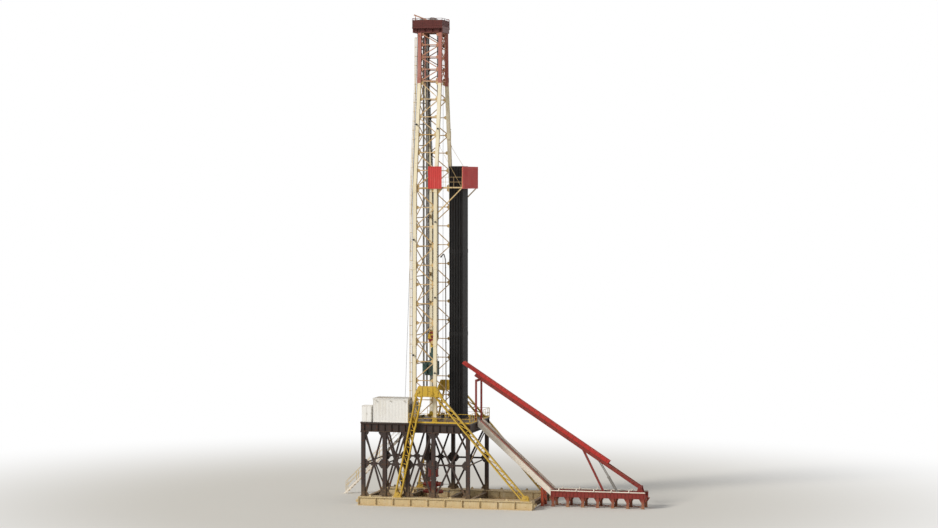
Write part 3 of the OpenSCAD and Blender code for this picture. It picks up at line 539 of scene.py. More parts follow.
def mastLadder():
    # climbs the rear face of the near rear leg, with a back cage
    low, high = 960, 5330

    def across(z):
        return -legY(z) + 30

    stops = [low, mast["board"], mast["neck"], high]
    bm = bmesh.new()
    for a, b in zip(stops, stops[1:]):
        for s in (-1, 1):
            y = s * ladder["width"] / 2
            addBar(bm, (-150, across(a) + y, a), (-150, across(b) + y, b), 6, ladder["rail"], (0, 1, 0))
    for i in range(int((high - low) / ladder["pitch"])):
        z = low + 12 + i * ladder["pitch"]
        y = across(z)
        addRod(bm, (-150, y - 19, z), (-150, y + 19, z), ladder["rungR"], 6)
    for i in range(21):
        z = low + 60 + i * 210
        for s in (-1, 1):
            addBlock(bm, (-149, -140), (across(z) + s * 22, across(z) + s * 16), (z - 3, z + 3))
        addBlock(bm, (-142, -139), (-legY(z) - 12, across(z) + 22), (z - 4, z + 4))
    finishPiece(bm, "mast_ladder", "wornSteel")
    bm = bmesh.new()
    hoops = [low + 230 + i * ladder["hoop"] for i in range(int((high - low - 240) / ladder["hoop"]) + 1)]
    for z in hoops:
        addArc(bm, (-152, across(z), z), 36, 1.3, (0, 0, 1), (0, 1, 0), 180, 6, 14)
    for angle in (15, 52, 90, 128, 165):
        dx, dy = -36 * math.sin(math.radians(angle)), 36 * math.cos(math.radians(angle))
        ends = [hoops[0], mast["board"], mast["neck"], hoops[-1]]
        for a, b in zip(ends, ends[1:]):
            addBar(bm, (-152 + dx, across(a) + dy, a), (-152 + dx, across(b) + dy, b), 4, 1.2, (dx, dy, 0))
    finishPiece(bm, "ladder_cage", "yellowPaint")


def mastRuns():
    # guide rails of the drive, standpipe, cable loom and lamps
    bm = bmesh.new()
    for s in (-1, 1):
        addBlock(bm, (-98, -84), (s * 62, s * 76), (1300, 5290), bevel=1.0)
        addBlock(bm, (-102, -98), (s * 58, s * 80), (1300, 5290))
        for z in (1590, 1922, 2253, 2585, 2917, 3248, 3580, 3822, 4064, 4306, 4548, 4790, 4973, 5157):
            addBlock(bm, (-117, -101), (s * 58, s * 84), (z - 6, z + 6))
            addBolts(bm, [(-100, s * 82, z)], 1.8, 3, (1, 0, 0))
    finishPiece(bm, "drive_guide_rails", "wornSteel")
    bm = bmesh.new()
    y = 352
    addPipe(bm, [(60, 420, 948), (60, y, 990), (60, y - 2, 1100), (60, y - 26, 2760), (48, y - 60, 2830),
                 (30, y - 96, 2800)], 6.5, 36)
    for z in range(1150, 2750, 217):
        yy = y - 2 - 24 * (z - 1100) / 1660
        addArc(bm, (60, yy, z), 8, 1.6, (0, 0, 1), (1, 0, 0), 360, 6, 14)
        addBlock(bm, (57, 63), (yy + 6, legY(z) - 2), (z - 3, z + 3))
    addRod(bm, (30, y - 96, 2800), (24, y - 106, 2788), 10, 12)
    finishPiece(bm, "standpipe", "wornSteel", smooth=True)
    bm = bmesh.new()
    for k in range(4):
        x = -96 + k * 5
        for a, b in ((960, mast["board"]), (mast["board"], mast["neck"]), (mast["neck"], 5320)):
            addRod(bm, (x, legY(a) + 2 - 12, a), (x, legY(b) + 2 - 12, b), 2.1, 6)
    for z in range(1010, 5320, 145):
        addBlock(bm, (-102, -77), (legY(z) - 14, legY(z) - 4), (z - 2.5, z + 2.5))
    finishPiece(bm, "cable_loom", "rubberBlack")


def mastLamps():
    cases, glass = bmesh.new(), bmesh.new()
    for z, x in ((1500, 120), (2350, 120), (3200, 120), (4250, 120), (1700, -120), (3000, -120), (4300, -120)):
        for side in (-1, 1):
            y = side * (legY(z) + mast["leg"])
            head = 1 if x > 0 else -1
            addBlock(cases, (x - 2, x + 2), (y, y + side * 14), (z - 2, z + 2))
            place = Matrix.Translation(at(x + head * 6, y + side * 20, z)) @ Matrix.Rotation(head * 0.6, 4, "Y")
            addBlock(cases, (-9 * head, 7 * head), (-13, 13), (-8, 8), place, 1.6)
            addBlock(glass, (7 * head, 8.4 * head), (-11, 11), (-6.5, 6.5), place)
            addBlock(cases, (-8 * head, 12 * head), (-14, 14), (8, 9.4), place)
    finishPiece(cases, "mast_lamps", "rubberBlack")
    finishPiece(glass, "mast_lamp_glass", "lampGlass")


mastJoints()
mastBackJoints()
mastLadder()
mastRuns()
mastLamps()
print("mast dressed")


crown = {"z": 5456.0, "wrapR": 54.05, "ropeR": 1.75, "deck": 5392.0}


def crownParts():
    bm = bmesh.new()
    for i in range(-2, 3):
        addArc(bm, (0, i * 15, crown["z"]), crown["wrapR"], crown["ropeR"], (0, -1, 0), (1, 0, 0), 180, 10, 24)
    addArc(bm, (-122, 0, crown["z"]), crown["wrapR"], crown["ropeR"], (0, 1, 0), (-1, 0, 0), 90, 10, 14)
    addRod(bm, (-122, 0, crown["z"] + crown["wrapR"]), (0, 0, crown["z"] + crown["wrapR"]), crown["ropeR"], 10)
    finishPiece(bm, "crown_rope_wraps", "wireRope", smooth=True)
    bm = bmesh.new()
    for s in (-1, 1):  # bearing caps, sheave guards and end stiffeners
        place = placed(0, s * 53, crown["z"], angle=-90 * s)
        addTurned(bm, [(0, 9), (13, 9), (17, 6), (19, 0), (19, -0.5), (0, -0.5)], place)
        addBolts(bm, [(u, s * 60, crown["z"] + v) for u, v in circle(8, 15)], 1.6, 3, (0, 1, 0))
        addArc(bm, (0, s * 44, crown["z"]), 61, 2, (0, -1, 0), (1, 0, -0.15), 197, 8, 26)
        for x in (-52, 52):
            addPlate(bm, [(0, 0), (0, 40), (-s * 16, 0)], 3,
                     placed(x, s * 53, crown["deck"])
                     @ Matrix.Rotation(math.radians(90), 4, "Y"))
    for k in range(9):
        a = math.radians(20 + k * 17.5)
        x, z = 61 * math.cos(a), crown["z"] + 61 * math.sin(a)
        addRod(bm, (x, -44, z), (x, 44, z), 1.4, 6)
    finishPiece(bm, "crown_sheave_guard", "crownRed")
    bm = bmesh.new()  # deck grating, toe boards and stiffeners under the deck
    for x in range(-196, 148, 8):
        if -80 < x < 80 or -192 < x < -160:
            addBlock(bm, (x, x + 1.5), (46, 164), (5392, 5394))
            addBlock(bm, (x, x + 1.5), (-164, -46), (5392, 5394))
        else:
            addBlock(bm, (x, x + 1.5), (-164, 164), (5392, 5394))
    for y in range(-160, 168, 20):
        if abs(y) > 44:
            addBlock(bm, (-198, 148), (y - 0.6, y + 0.6), (5392, 5393.4))
    for s in (-1, 1):
        addBlock(bm, (-200, 150), (s * 168.5, s * 170), (5384, 5410))
    addBlock(bm, (-201.5, -200), (-169.8, 169.8), (5384.2, 5409.8))
    addBlock(bm, (150, 151.5), (-169.8, 169.8), (5384.2, 5409.8))
    for x in (-150, -60, 30, 120):
        for s in (-1, 1):
            addPlate(bm, [(0, 0), (34, 44), (0, 44)], 3,
                     placed(x, s * 142, 5342)
                     @ Matrix.Rotation(math.radians(90 * s), 4, "Y"))
    finishPiece(bm, "crown_deck_fittings", "crownRed")
    bm = bmesh.new()  # ribbed panels on the rails and a cover over the sheaves
    for s in (-1, 1):
        addBlock(bm, (-196, 146), (s * 165.4, s * 166.6), (5412, 5482))
        for x in range(-190, 138, 12):
            addBlock(bm, (x, x + 6), (s * 166.4, s * 168), (5414, 5480), bevel=0.6)
    for x, s in ((-198, -1), (148, 1)):
        addBlock(bm, (x - 0.6, x + 0.6), (-164, 164), (5412, 5482))
        for y in range(-160, 156, 12):
            addBlock(bm, (x + s * 0.5, x + s * 2), (y, y + 6), (5414, 5480), bevel=0.6)
    for s in (-1, 1):
        addPlate(bm, [(-64, 0), (64, 0), (56, 30), (34, 54), (0, 63), (-34, 54), (-56, 30)], 2,
                 placed(0, s * 64, 5400))
    finishPiece(bm, "crown_panels", "crownRed")
    bm = bmesh.new()  # small lifting jib lying over the deck
    for x, top in ((-178, 5538), (66, 5442)):
        for y in (-118, -98):
            addBar(bm, (x, y, 5392), (x, -108, top), 7, 6, (1, 0, 0))
    addBar(bm, (-196, -108, 5545), (88, -108, 5434), 13, 11, (0, 1, 0))
    addRod(bm, (-186, -116, 5540), (-186, -100, 5540), 8, 12)
    finishPiece(bm, "crown_jib", "mastTan")
    bm = bmesh.new()  # warning lamp and its post
    addRod(bm, (140, 150, 5392), (140, 150, 5500), 2, 8)
    addTurned(bm, [(0, 9), (3, 8), (4, 4), (4, 0), (0, 0)], Matrix.Translation(at(140, 150, 5500)), 16)
    addRod(bm, (-190, -150, 5392), (-190, -150, 5508), 1.6, 8)
    finishPiece(bm, "warning_lamp", "windRed", smooth=True)


board = {"rib": 23, "ribDeep": 2.4}


def rackingParts():
    bm = bmesh.new()  # ribs, rims and bolts of the windbreaks
    z0, z1 = 3575, 3825
    for y in range(-348, 348, board["rib"]):
        addBlock(bm, (435, 435 + board["ribDeep"]), (y, y + 9), (z0 + 8, z1 - 8), bevel=0.8)
    for z in (z0, z1 - 6):
        addBlock(bm, (434.8, 438.5), (-356, 356), (z, z + 6))
    for s in (-1, 1):
        addBlock(bm, (434.9, 438.3), (s * 350, s * 355.8), (z0 + 5.8, z1 - 5.8))
    for x in range(146, 425, board["rib"]):
        addBlock(bm, (x, x + 9), (360, 360 + board["ribDeep"]), (z0 + 8, z1 - 8), bevel=0.8)
    for z in (z0, z1 - 6):
        addBlock(bm, (140, 432), (359.8, 363), (z, z + 6))
        addBlock(bm, (38, 197), (-375.4, -371.8), (z, z + 6))
    for x in range(46, 186, board["rib"]):
        addBlock(bm, (x, x + 9), (-374.4, -372), (z0 + 8, z1 - 8), bevel=0.8)
    for x in (38, 191):
        addBlock(bm, (x + 0.2, x + 5.8), (-375.2, -371.9), (z0 + 5.8, z1 - 5.8))
    finishPiece(bm, "windbreak_ribs", "windRed")
    bm = bmesh.new()  # posts and rails behind the panels, handrail over the walkway
    for y in (-340, -200, -60, 60, 200, 340):
        addBlock(bm, (424, 429.6), (y - 3, y + 3), (3595, 3815))
    for z in (3660, 3760):
        addBlock(bm, (425, 429.6), (-345, 345), (z, z + 4))
    for x in (160, 260, 360):
        addBlock(bm, (x - 3, x + 3), (346, 354.6), (3595, 3815))
    for z in (3660, 3760):
        addBlock(bm, (145, 425), (350, 354.6), (z, z + 4))
    for x in (50, 118, 185):
        addBlock(bm, (x - 2.5, x + 2.5), (-366.8, -364.2), (3580, 3815))
    addBlock(bm, (50, 55), (-366, -348), (3600, 3605))
    addBlock(bm, (185, 190), (-366, -340), (3600, 3605))
    addBlock(bm, (44, 190), (-366.8, -364.4), (3700, 3704))
    for s in (-1, 1):  # handrail along the board's ends
        for h in (3650, 3705):
            addRod(bm, (140, s * 352, h), (424, s * 352, h), 1.8, 6)
        for x in (140, 235, 330, 424):
            addRod(bm, (x, s * 352, 3595), (x, s * 352, 3705), 1.8, 6)
    finishPiece(bm, "board_posts_and_rails", "mastCream")
    bm = bmesh.new()  # grating on the walkway and diving board
    for y in range(-332, 334, 7):
        addBlock(bm, (386, 424), (y - 0.7, y + 0.7), (3595, 3597))
    for x in (386, 396, 406, 416):
        addBlock(bm, (x, x + 1.4), (-333, 333), (3595, 3597.4))
    for x in range(128, 384, 7):
        addBlock(bm, (x - 0.7, x + 0.7), (-21, 21), (3592, 3594))
    for y in (-21, 0, 21):
        addBlock(bm, (126, 385), (y - 0.7, y + 0.7), (3592, 3594.4))
    finishPiece(bm, "board_gratings", "wornSteel")
    bm = bmesh.new()  # latches on the fingers, with their little cylinders
    for s in (-1, 1):
        for i in range(10):
            x = 169.5 + (i - 0.5) * 19
            addBlock(bm, (x - 3, x + 3), (s * 52, s * 62), (3581, 3593), bevel=1.0)
            for k in range(14):
                yy = s * (92 + k * 16.8)
                addBlock(bm, (x - 1.6, x + 1.6), (yy - 2, yy + 2), (3591, 3594.5))
    finishPiece(bm, "finger_latches", "wornSteel")
    bm = bmesh.new()  # brackets that carry the board on the front legs
    for s in (-1, 1):
        addPlate(bm, [(0, 0), (0, -70), (12, -70), (70, 0)], 4,
                 placed(135, s * 345, 3580))
        addRod(bm, (146, s * 336, 3560), (146, s * 354, 3560), 5, 10)
        addRod(bm, (416, s * 338, 3586), (416, s * 352, 3586), 5, 10)
        addRod(bm, (417, s * 345, 3595), (142, s * 268, 4060), 1.7, 8)  # tie up to the mast
        addBlock(bm, (136, 148), (s * 260, s * 276), (4052, 4068))
    finishPiece(bm, "board_brackets", "mastCream")


def standTops():
    bm = bmesh.new()  # open box ends on the racked stands
    for j in range(9):
        for i in range(14):
            x, y = 169.5 + j * 19, 100 + i * 16.8
            addRod(bm, (x, y, 3826), (x, y, 3832), 8.1, 10, 7.4)
            addRod(bm, (x, y, 3828.2), (x, y, 3832.6), 4.6, 8)
    finishPiece(bm, "stand_box_ends", "wornSteel")


crownParts()
rackingParts()
standTops()
print("crown and racking board dressed")


hoist = {"block": 1890.0, "drive": 1360.0, "travel": 3000.0}


def drillingLines():
    # the ten parts between the blocks, drawn from the block's height up to the crown; in the real rig they
    # shorten as the hoist goes up
    bm = bmesh.new()
    for s in (-1, 1):
        for i in range(-2, 3):
            spot = (s * crown["wrapR"], i * 15)
            addRod(bm, (*spot, hoist["block"] + 0.5), (*spot, crown["z"]), crown["ropeR"], 12)
    lines = finishPiece(bm, "drilling_line_parts", "wireRope", smooth=True)
    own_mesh(lines)
    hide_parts("drilling_lines")


def blockAndDrive():
    bm = bmesh.new()
    for i in range(-2, 3):
        addArc(bm, (0, i * 15, hoist["block"]), crown["wrapR"], crown["ropeR"], (0, 1, 0), (1, 0, 0), 180,
               10, 24)
    finishPiece(bm, "block_rope_wraps", "wireRope", "hoist", True)
    bm = bmesh.new()
    for s in (-1, 1):
        place = placed(0, s * 51, hoist["block"], angle=-90 * s)
        addTurned(bm, [(0, 10), (12, 10), (15, 7), (18, 0), (18, -0.5), (0, -0.5)], place)
        addBolts(bm, [(u, s * 52, hoist["block"] + v) for u, v in circle(6, 26)], 2.2, 3, (0, 1, 0))
        for outline in ([(-36, 34), (36, 34), (16, 60), (-16, 60)],
                        [(-30, -66), (30, -66), (46, -22), (-46, -22)]):
            addPlate(bm, outline, 3, placed(0, s * 52, hoist["block"]))
    for x, z in ((-20, 1946), (20, 1946), (-30, 1830), (30, 1830)):
        addRod(bm, (x, -54, z), (x, 54, z), 4, 10)
    addRod(bm, (0, -48, 1800), (0, 48, 1800), 9, 16)
    finishPiece(bm, "block_pins_and_plates", "floorRed", "hoist")
    z = hoist["drive"]
    bm = bmesh.new()  # motor casing: lids, louvres, bolts, blower and brackets
    for s in (-1, 1):
        addBlock(bm, (-48, 48), (s * 55, s * 58), (z + 100, z + 240), bevel=1.5)
        for k in range(9):
            addBlock(bm, (-38, 38), (s * 58, s * 60.5), (z + 128 + k * 10, z + 133 + k * 10))
        addBolts(bm, [(x, s * 58.8, z + h) for x in (-43, 0, 43) for h in (106, 234)], 2, 2.4, (0, 1, 0))
        addBlock(bm, (55, 58), (s * 4, s * 50), (z + 100, z + 240), bevel=1.5)
        addBolts(bm, [(58.8, s * y, z + h) for y in (9, 45) for h in (106, 170, 234)], 2, 2.4, (1, 0, 0))
        addBlock(bm, (-84, -55), (s * 46, s * 54), (z + 90, z + 250), bevel=1.5)
        addBlock(bm, (-106, -56), (s * 79, s * 83), (z + 110, z + 230), bevel=1.0)
        addBlock(bm, (-80, -56), (s * 52, s * 80), (z + 150, z + 190), bevel=1.0)
    place = Matrix.Translation(at(0, 0, z + 340))
    addTurned(bm, [(0, 14), (20, 14), (34, 8), (46, 0), (46, -2), (0, -2)], place)
    place = Matrix.Translation(at(0, 0, z + 30))
    addTurned(bm, [(0, -3), (40, -3), (42, 3), (40, 9), (0, 9)], place)
    addTurned(bm, [(0, 46), (37, 46), (40, 52), (37, 58), (0, 58)], place)
    finishPiece(bm, "drive_casing", "drivePaint", "hoist")
    bm = bmesh.new()
    addBolts(bm, [(u, v, z + 40) for u, v in circle(12, 38)], 2.2, 5, (0, 0, 1))
    for s in (-1, 1):  # guide shoes beside the rails
        for h in (118, 222):
            addRod(bm, (-91, s * 77.5, z + h), (-91, s * 79.2, z + h), 9, 14)
    addTurned(bm, [(0, 26), (9, 26), (14, 18), (14, 2), (20, 0), (0, 0)],
              Matrix.Translation(at(0, 0, z + 400)), 20)
    addPipe(bm, [(0, 0, z + 420), (0, 0, z + 446), (26, 0, z + 446), (40, 0, z + 424)], 6, 18)
    for s in (-1, 1):
        addPipe(bm, [(40, s * 30, z + 250), (52, s * 32, z + 290), (40, s * 36, z + 330),
                     (16, s * 45, z + 340)], 3, 20)
        addPipe(bm, [(-20, s * 55, z + 240), (-20, s * 66, z + 210), (-20, s * 66, z + 140),
                     (-20, s * 55, z + 110)], 2.6, 16)
    finishPiece(bm, "drive_fittings", "wornSteel", "hoist", True)
    bm = bmesh.new()  # link tilt, link eyes and elevator latch
    for s in (-1, 1):
        for eye in (1427, 1156):
            addArc(bm, (0, s * 40, eye), 9, 4, (0, 1, 0), (1, 0, 0), 360, 8, 18)
        addRod(bm, (24, s * 34, z + 60), (6, s * 40, 1300), 3, 8)
        addRod(bm, (30, s * 34, z + 66), (20, s * 35.5, z + 20), 5, 10)
        addBlock(bm, (-7, 7), (s * 33, s * 47), (1290, 1304), bevel=1.0)
    addBlock(bm, (22, 34), (-8, 8), (1146, 1164), bevel=1.5)
    addRod(bm, (29, 0, 1142), (29, 0, 1168), 3, 8)
    addArc(bm, (0, 0, 1168), 20, 2.4, (0, 0, 1), (1, 0, 0), 360, 6, 20)
    finishPiece(bm, "link_eyes_and_latch", "wornSteel", "hoist", True)


def rotaryParts():
    bm = bmesh.new()  # bushing halves, slips with handles, ring of bolts
    top = Matrix.Translation(at(0, 0, 946))
    addTurned(bm, [(17, 0), (17, 2.4), (27, 2.4), (28, 0), (17, 0)], top)
    addBolts(bm, [(u, v, 947) for u, v in circle(12, 43)], 2.2, 2, (0, 0, 1))
    for u, v in circle(4, 38, 0.5):
        addBlock(bm, (-4, 4), (-2, 2), (0, 1.6), Matrix.Translation(at(u, v, 946)))
    finishPiece(bm, "rotary_bushing", "wornSteel", "table")
    bm = bmesh.new()  # bolts and lifting eyes round the housing's flange
    for s in (-1, 1):
        for k in range(-4, 5):
            addBolts(bm, [(s * 83, k * 19, 945), (k * 19, s * 83, 945)], 2.2, 2.2, (0, 0, 1))
    addRod(bm, (112, -40, 905), (112, -40, 962), 13, 20)
    addTurned(bm, [(9, 18), (14.5, 18), (14.5, 26), (9, 26), (9, 18)],
              Matrix.Translation(at(112, -40, 940)), 20)
    finishPiece(bm, "housing_bolts_and_mousehole", "wornSteel")


drillingLines()
blockAndDrive()
rotaryParts()
print("hoist and table dressed")


works = {"drumX": -300.0, "drumZ": 1032.0, "ropeR": 1.75}


def drawworksParts():
    bm = bmesh.new()  # line wound on the drum
    turns = 34
    for k in range(turns):
        y = -60 + 120 * (k + 0.5) / turns
        addArc(bm, (works["drumX"], y, works["drumZ"]), 37.9, works["ropeR"], (0, 1, 0), (-1, 0, 0), 360, 6, 22)
    finishPiece(bm, "drum_windings", "wireRope", smooth=True)
    bm = bmesh.new()  # brake discs, calipers and motor fins
    for s in (-1, 1):
        place = placed(works["drumX"], s * 71, works["drumZ"])
        addTurned(bm, [(36, -1.5), (66, -1.5), (66, 1.5), (36, 1.5), (36, -1.5)], place, 32)
        for a in (25, 155, 270):
            x = works["drumX"] + 62 * math.cos(math.radians(a))
            zz = works["drumZ"] + 62 * math.sin(math.radians(a))
            if zz > 965:
                addBlock(bm, (x - 9, x + 9), (s * 64, s * 77), (zz - 8, zz + 8), bevel=1.5)
    for k in range(15):
        a = math.radians(-40 + k * 260 / 14)
        x, z = -310 + 58 * math.cos(a), 1032 + 58 * math.sin(a)
        addBar(bm, (x, 206, z), (x, 304, z), 5, 3, (math.cos(a), 0, math.sin(a)))
    finishPiece(bm, "brakes_and_fins", "wornSteel")
    bm = bmesh.new()
    for y0, y1, z1 in ((-180, -78, 1110), (78, 190, 1120)):
        addBlock(bm, (-404, -221), (y0 - 3, y1 + 3), (z1 - 3, z1 + 4), bevel=1.5)
        for x in (-225, -403):
            addBlock(bm, (x, x + 3), (y0 + 10, y1 - 10), (975, z1 - 14), bevel=1.2)
        for y in (y0 + 16, (y0 + y1) / 2, y1 - 16):
            addBolts(bm, [(x, y, z) for x in (-221, -404) for z in (985, z1 - 22)], 2, 2.4, (1, 0, 0))
        for x in (-380, -340, -300, -260):
            addBlock(bm, (x - 12, x + 12), (y0 + 20, y1 - 20), (z1 + 4, z1 + 6), bevel=0.6)
    addTurned(bm, [(0, 10), (30, 10), (44, 6), (50, 0), (0, 0)],
              placed(-310, 320, 1032, angle=-90), 28)
    addBlock(bm, (-340, -280), (215, 295), (1080, 1112), bevel=2)  # blower on the motor
    addRod(bm, (-310, 255, 1112), (-310, 255, 1124), 22, 20)
    addBlock(bm, (-250, -240), (-76, 76), (962, 1012), bevel=1)  # low guard in front of the drum
    for x in (-425, -195):
        addBlock(bm, (x - 4, x + 4), (-180, 330), (958, 966))
    for y in range(-170, 330, 40):
        addBolts(bm, [(-424, y, 967), (-196, y, 967)], 2, 3, (0, 0, 1))
    finishPiece(bm, "drawworks_covers", "drivePaint")
    bm = bmesh.new()  # pipes and hoses to the brakes
    for s in (-1, 1):
        addPipe(bm, [(-240, s * 90, 966), (-236, s * 78, 1000), (-246, s * 74, 1050),
                     (-262, s * 72, 1070)], 2.4, 18)
    addPipe(bm, [(-420, -100, 966), (-420, -100, 1000), (-420, 100, 1000), (-420, 100, 966)], 3, 14)
    finishPiece(bm, "brake_hoses", "rubberBlack", smooth=True)
    bm = bmesh.new()  # dead line anchor
    place = Matrix.Translation(at(60, 200, 940))
    for h in (4, 52):
        addTurned(bm, [(0, 0), (26, 0), (26, 4), (0, 4)], place @ Matrix.Translation(at(0, 0, h)), 24)
    for k in range(5):
        addArc(bm, (60, 200, 956 + k * 8), 21.6, works["ropeR"], (0, 0, 1), (1, 0, 0), 360, 6, 22)
    addBlock(bm, (34, 86), (176, 224), (940, 944), bevel=1)
    finishPiece(bm, "dead_line_anchor", "wornSteel", smooth=True)


house = {"box": (-575, -175, -470, -235, 952, 1202), "rib": 17}


def doghouseParts():
    x0, x1, y0, y1, z0, z1 = house["box"]
    bm = bmesh.new()  # wall ribs and corner posts
    for x in range(x0 + 14, x1 - 20, house["rib"]):
        addBlock(bm, (x, x + 7), (y0 - 2.2, y0), (z0 + 10, z1 - 8), bevel=0.7)
        if x < -418:
            addBlock(bm, (x, x + 7), (y1, y1 + 2.2), (z0 + 10, z1 - 8), bevel=0.7)
    for y in range(y0 + 14, y1 - 16, house["rib"]):
        addBlock(bm, (x0 - 2.2, x0), (y, y + 7), (z0 + 10, z1 - 8), bevel=0.7)
        beside = y < y0 + 40 or y > y1 - 46  # the ribs under the window are short
        addBlock(bm, (x1, x1 + 2.2), (y, y + 7), (z0 + 10, z1 - 8 if beside else z0 + 82), bevel=0.7)
    for x in (x0, x1):
        for y in (y0, y1):
            addBlock(bm, (x - 4, x + 4), (y - 4, y + 4), (941, z1), bevel=1)
            for z in (941, z1 - 10):
                addBlock(bm, (x - 6, x + 6), (y - 6, y + 6), (z, z + 10), bevel=1)
    for z in (943, z1 - 8):
        addBlock(bm, (x0, x1), (y0 - 3, y0), (z, z + 8))
        addBlock(bm, (x0 - 3, x0), (y0 + 0.2, y1 - 0.2), (z + 0.2, z + 7.8))
        addBlock(bm, (x1, x1 + 3), (y0 + 0.2, y1 - 0.2), (z + 0.2, z + 7.8))
    addBlock(bm, (x0, x1), (y1, y1 + 3), (z1 - 8, z1))
    finishPiece(bm, "doghouse_ribs", "whitePaint")
    bm = bmesh.new()  # frames of window and doorway, eaves, lamp hoods, cooler on the rear wall
    for y in (-422, -285):
        addBlock(bm, (x1, x1 + 5), (y - 2, y + 4), (1043, 1141), bevel=0.8)
    for z in (1041, 1137):
        addBlock(bm, (x1, x1 + 6), (-424, -281), (z, z + 6), bevel=0.8)
    for y in (-377, -332):
        addBlock(bm, (x1 - 4, x1 + 3), (y, y + 3), (1047, 1137))
    addBlock(bm, (-326, -322), (y1, y1 + 0.8), (952, 1160))
    addBlock(bm, (-239, -233), (y1, y1 + 4), (952, 1163), bevel=0.8)
    addBlock(bm, (-325.8, -233.2), (y1, y1 + 3.8), (1157, 1162.7), bevel=0.8)
    addBlock(bm, (-583, -167), (-478, -227), (1209, 1212), bevel=1)
    for x in range(-560, -170, 40):
        addBlock(bm, (x, x + 4), (-476, -229), (1212, 1214))
    addBlock(bm, (-600, -577), (-400, -320), (1080, 1140), bevel=2)
    for k in range(7):
        addBlock(bm, (-602, -600), (-394, -326), (1086 + k * 7, 1089 + k * 7))
    for x in (-540, -375, -210):
        addBlock(bm, (x - 8, x + 8), (-490, -474), (1180, 1188), bevel=1.5)
    finishPiece(bm, "doghouse_trim", "doorGrey")
    bm = bmesh.new()  # the open door leaf
    addBlock(bm, (-413, -327), (-234, -230), (955, 1155), bevel=0.8)
    addBlock(bm, (-403, -337), (-230, -229), (965, 1045), bevel=0.4)
    addBlock(bm, (-403, -380), (-230, -229), (1060, 1145), bevel=0.4)
    addBlock(bm, (-360, -337), (-230, -229), (1060, 1145), bevel=0.4)
    for z in (982, 1060, 1120):
        addRod(bm, (-326.2, -232, z), (-326.2, -232, z + 14), 2.2, 10)
        addBlock(bm, (-332, -326), (-235, -233), (z, z + 14))
    addRod(bm, (-406, -229, 1040), (-406, -222, 1040), 1.6, 8)
    addRod(bm, (-408, -222, 1040), (-390, -222, 1040), 1.8, 8)
    leaf = finishPiece(bm, "doghouse_door", "doorGrey")
    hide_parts("doghouse_fittings")
    bm = bmesh.new()
    addBlock(bm, (-179, -177), (-420, -285), (1047, 1137))
    addBlock(bm, (-380, -360), (-229.8, -229.2), (1066, 1140))
    finishPiece(bm, "window_panes", "windowGlass")
    bm = bmesh.new()  # locker doors and roof behind the cabin
    addBlock(bm, (-714, -601), (-469, -356), (1120, 1126), bevel=1.5)
    for x in (-708, -656):
        addBlock(bm, (x, x + 49), (-467.5, -465), (948, 1112), bevel=1)
        addRod(bm, (x + (44 if x < -700 else 5), -471, 1020), (x + (44 if x < -700 else 5), -471, 1044), 1.4, 6)
    for x in (-712, -607):
        addBlock(bm, (x, x + 4), (-466.5, -358.5), (940, 1120))
    finishPiece(bm, "locker_doors", "whitePaint")


drawworksParts()
doghouseParts()
print("floor machinery and doghouse dressed")


def substructureParts():
    posts = (-700, -450, -180, 120, 520)
    bm = bmesh.new()
    bolts = bmesh.new()
    for side in (-1, 1):
        out = side * 457
        for a, b in zip(posts, posts[1:]):
            x0, x1 = a + 21, b - 21
            mid = (x0 + x1) / 2
            addPlate(bm, [(-34, -22), (34, -22), (34, 22), (-34, 22)], 4, placed(mid, out, 469))
            for x, z in ((-24, -14), (24, -14), (-24, 14), (24, 14), (0, -14), (0, 14)):
                addBolts(bolts, [(mid + x, out + side * 3, 469 + z)], 2.6, 3, (0, 1, 0))
            for x, s in ((x0, 1), (x1, -1)):
                for z, t in ((108, 1), (830, -1), (469, 1), (469, -1)):
                    addPlate(bm, [(0, 0), (s * 46, 0), (s * 46, t * 14), (s * 16, t * 52), (0, t * 52)], 4,
                             placed(x, out, z + t * 0.2))
                    for u, w in ((12, 12), (32, 9), (11, 36)):
                        addBolts(bolts, [(x + s * u, out + side * 3, z + t * w)], 2.4, 3, (0, 1, 0))
        for x in posts:  # post caps, feet and their bolts
            for z in (822, 462):
                addBlock(bm, (x - 27, x + 27), (side * 425, side * 473), (z, z + 8), bevel=1)
            for u in (-25, 25):
                addBolts(bolts, [(x + u, side * 428, 110), (x + u, side * 470, 110)], 2.6, 4, (0, 0, 1))
            for u in (-12, 12):
                addPlate(bm, [(0, 0), (14, 0), (0, 30)], 3,
                         placed(x + u, side * 470, 108, "Z")
                         @ Matrix.Rotation(math.radians(90), 4, "X") @ Matrix.Diagonal((side * 0.25, 1, 1, 1)))
        for x in range(-690, 550, 80):  # stiffeners in the floor girders
            addBlock(bm, (x, x + 4), (side * 453, side * 469), (838, 922))
    finishPiece(bm, "substructure_gussets", "darkSteel")
    finishPiece(bolts, "substructure_bolts", "wornSteel")
    bm = bmesh.new()  # cross bracing between the sides, at the rear and under the floor
    for x in (-700, 520):
        for s in (-1, 1):
            low = 480 if x > 0 else 120
            addBar(bm, (x + s * 6, -s * 428, low), (x + s * 6, s * 428, 824), 14, 10, (1, 0, 0))
    for x in (-700, -450, 520):
        addBlock(bm, (x - 6, x + 6), (-428, 428), (462, 474))
    for a, b in ((-710, -500), (-500, -300), (330, 530)):
        for p, q in ((a + 16, b - 16), (b - 16, a + 16)):
            for y in (-430, 430):
                addBar(bm, (p, y, 845), (q, 0, 845), 10, 8, (0, 0, 1))
    finishPiece(bm, "cross_bracing", "darkSteel")


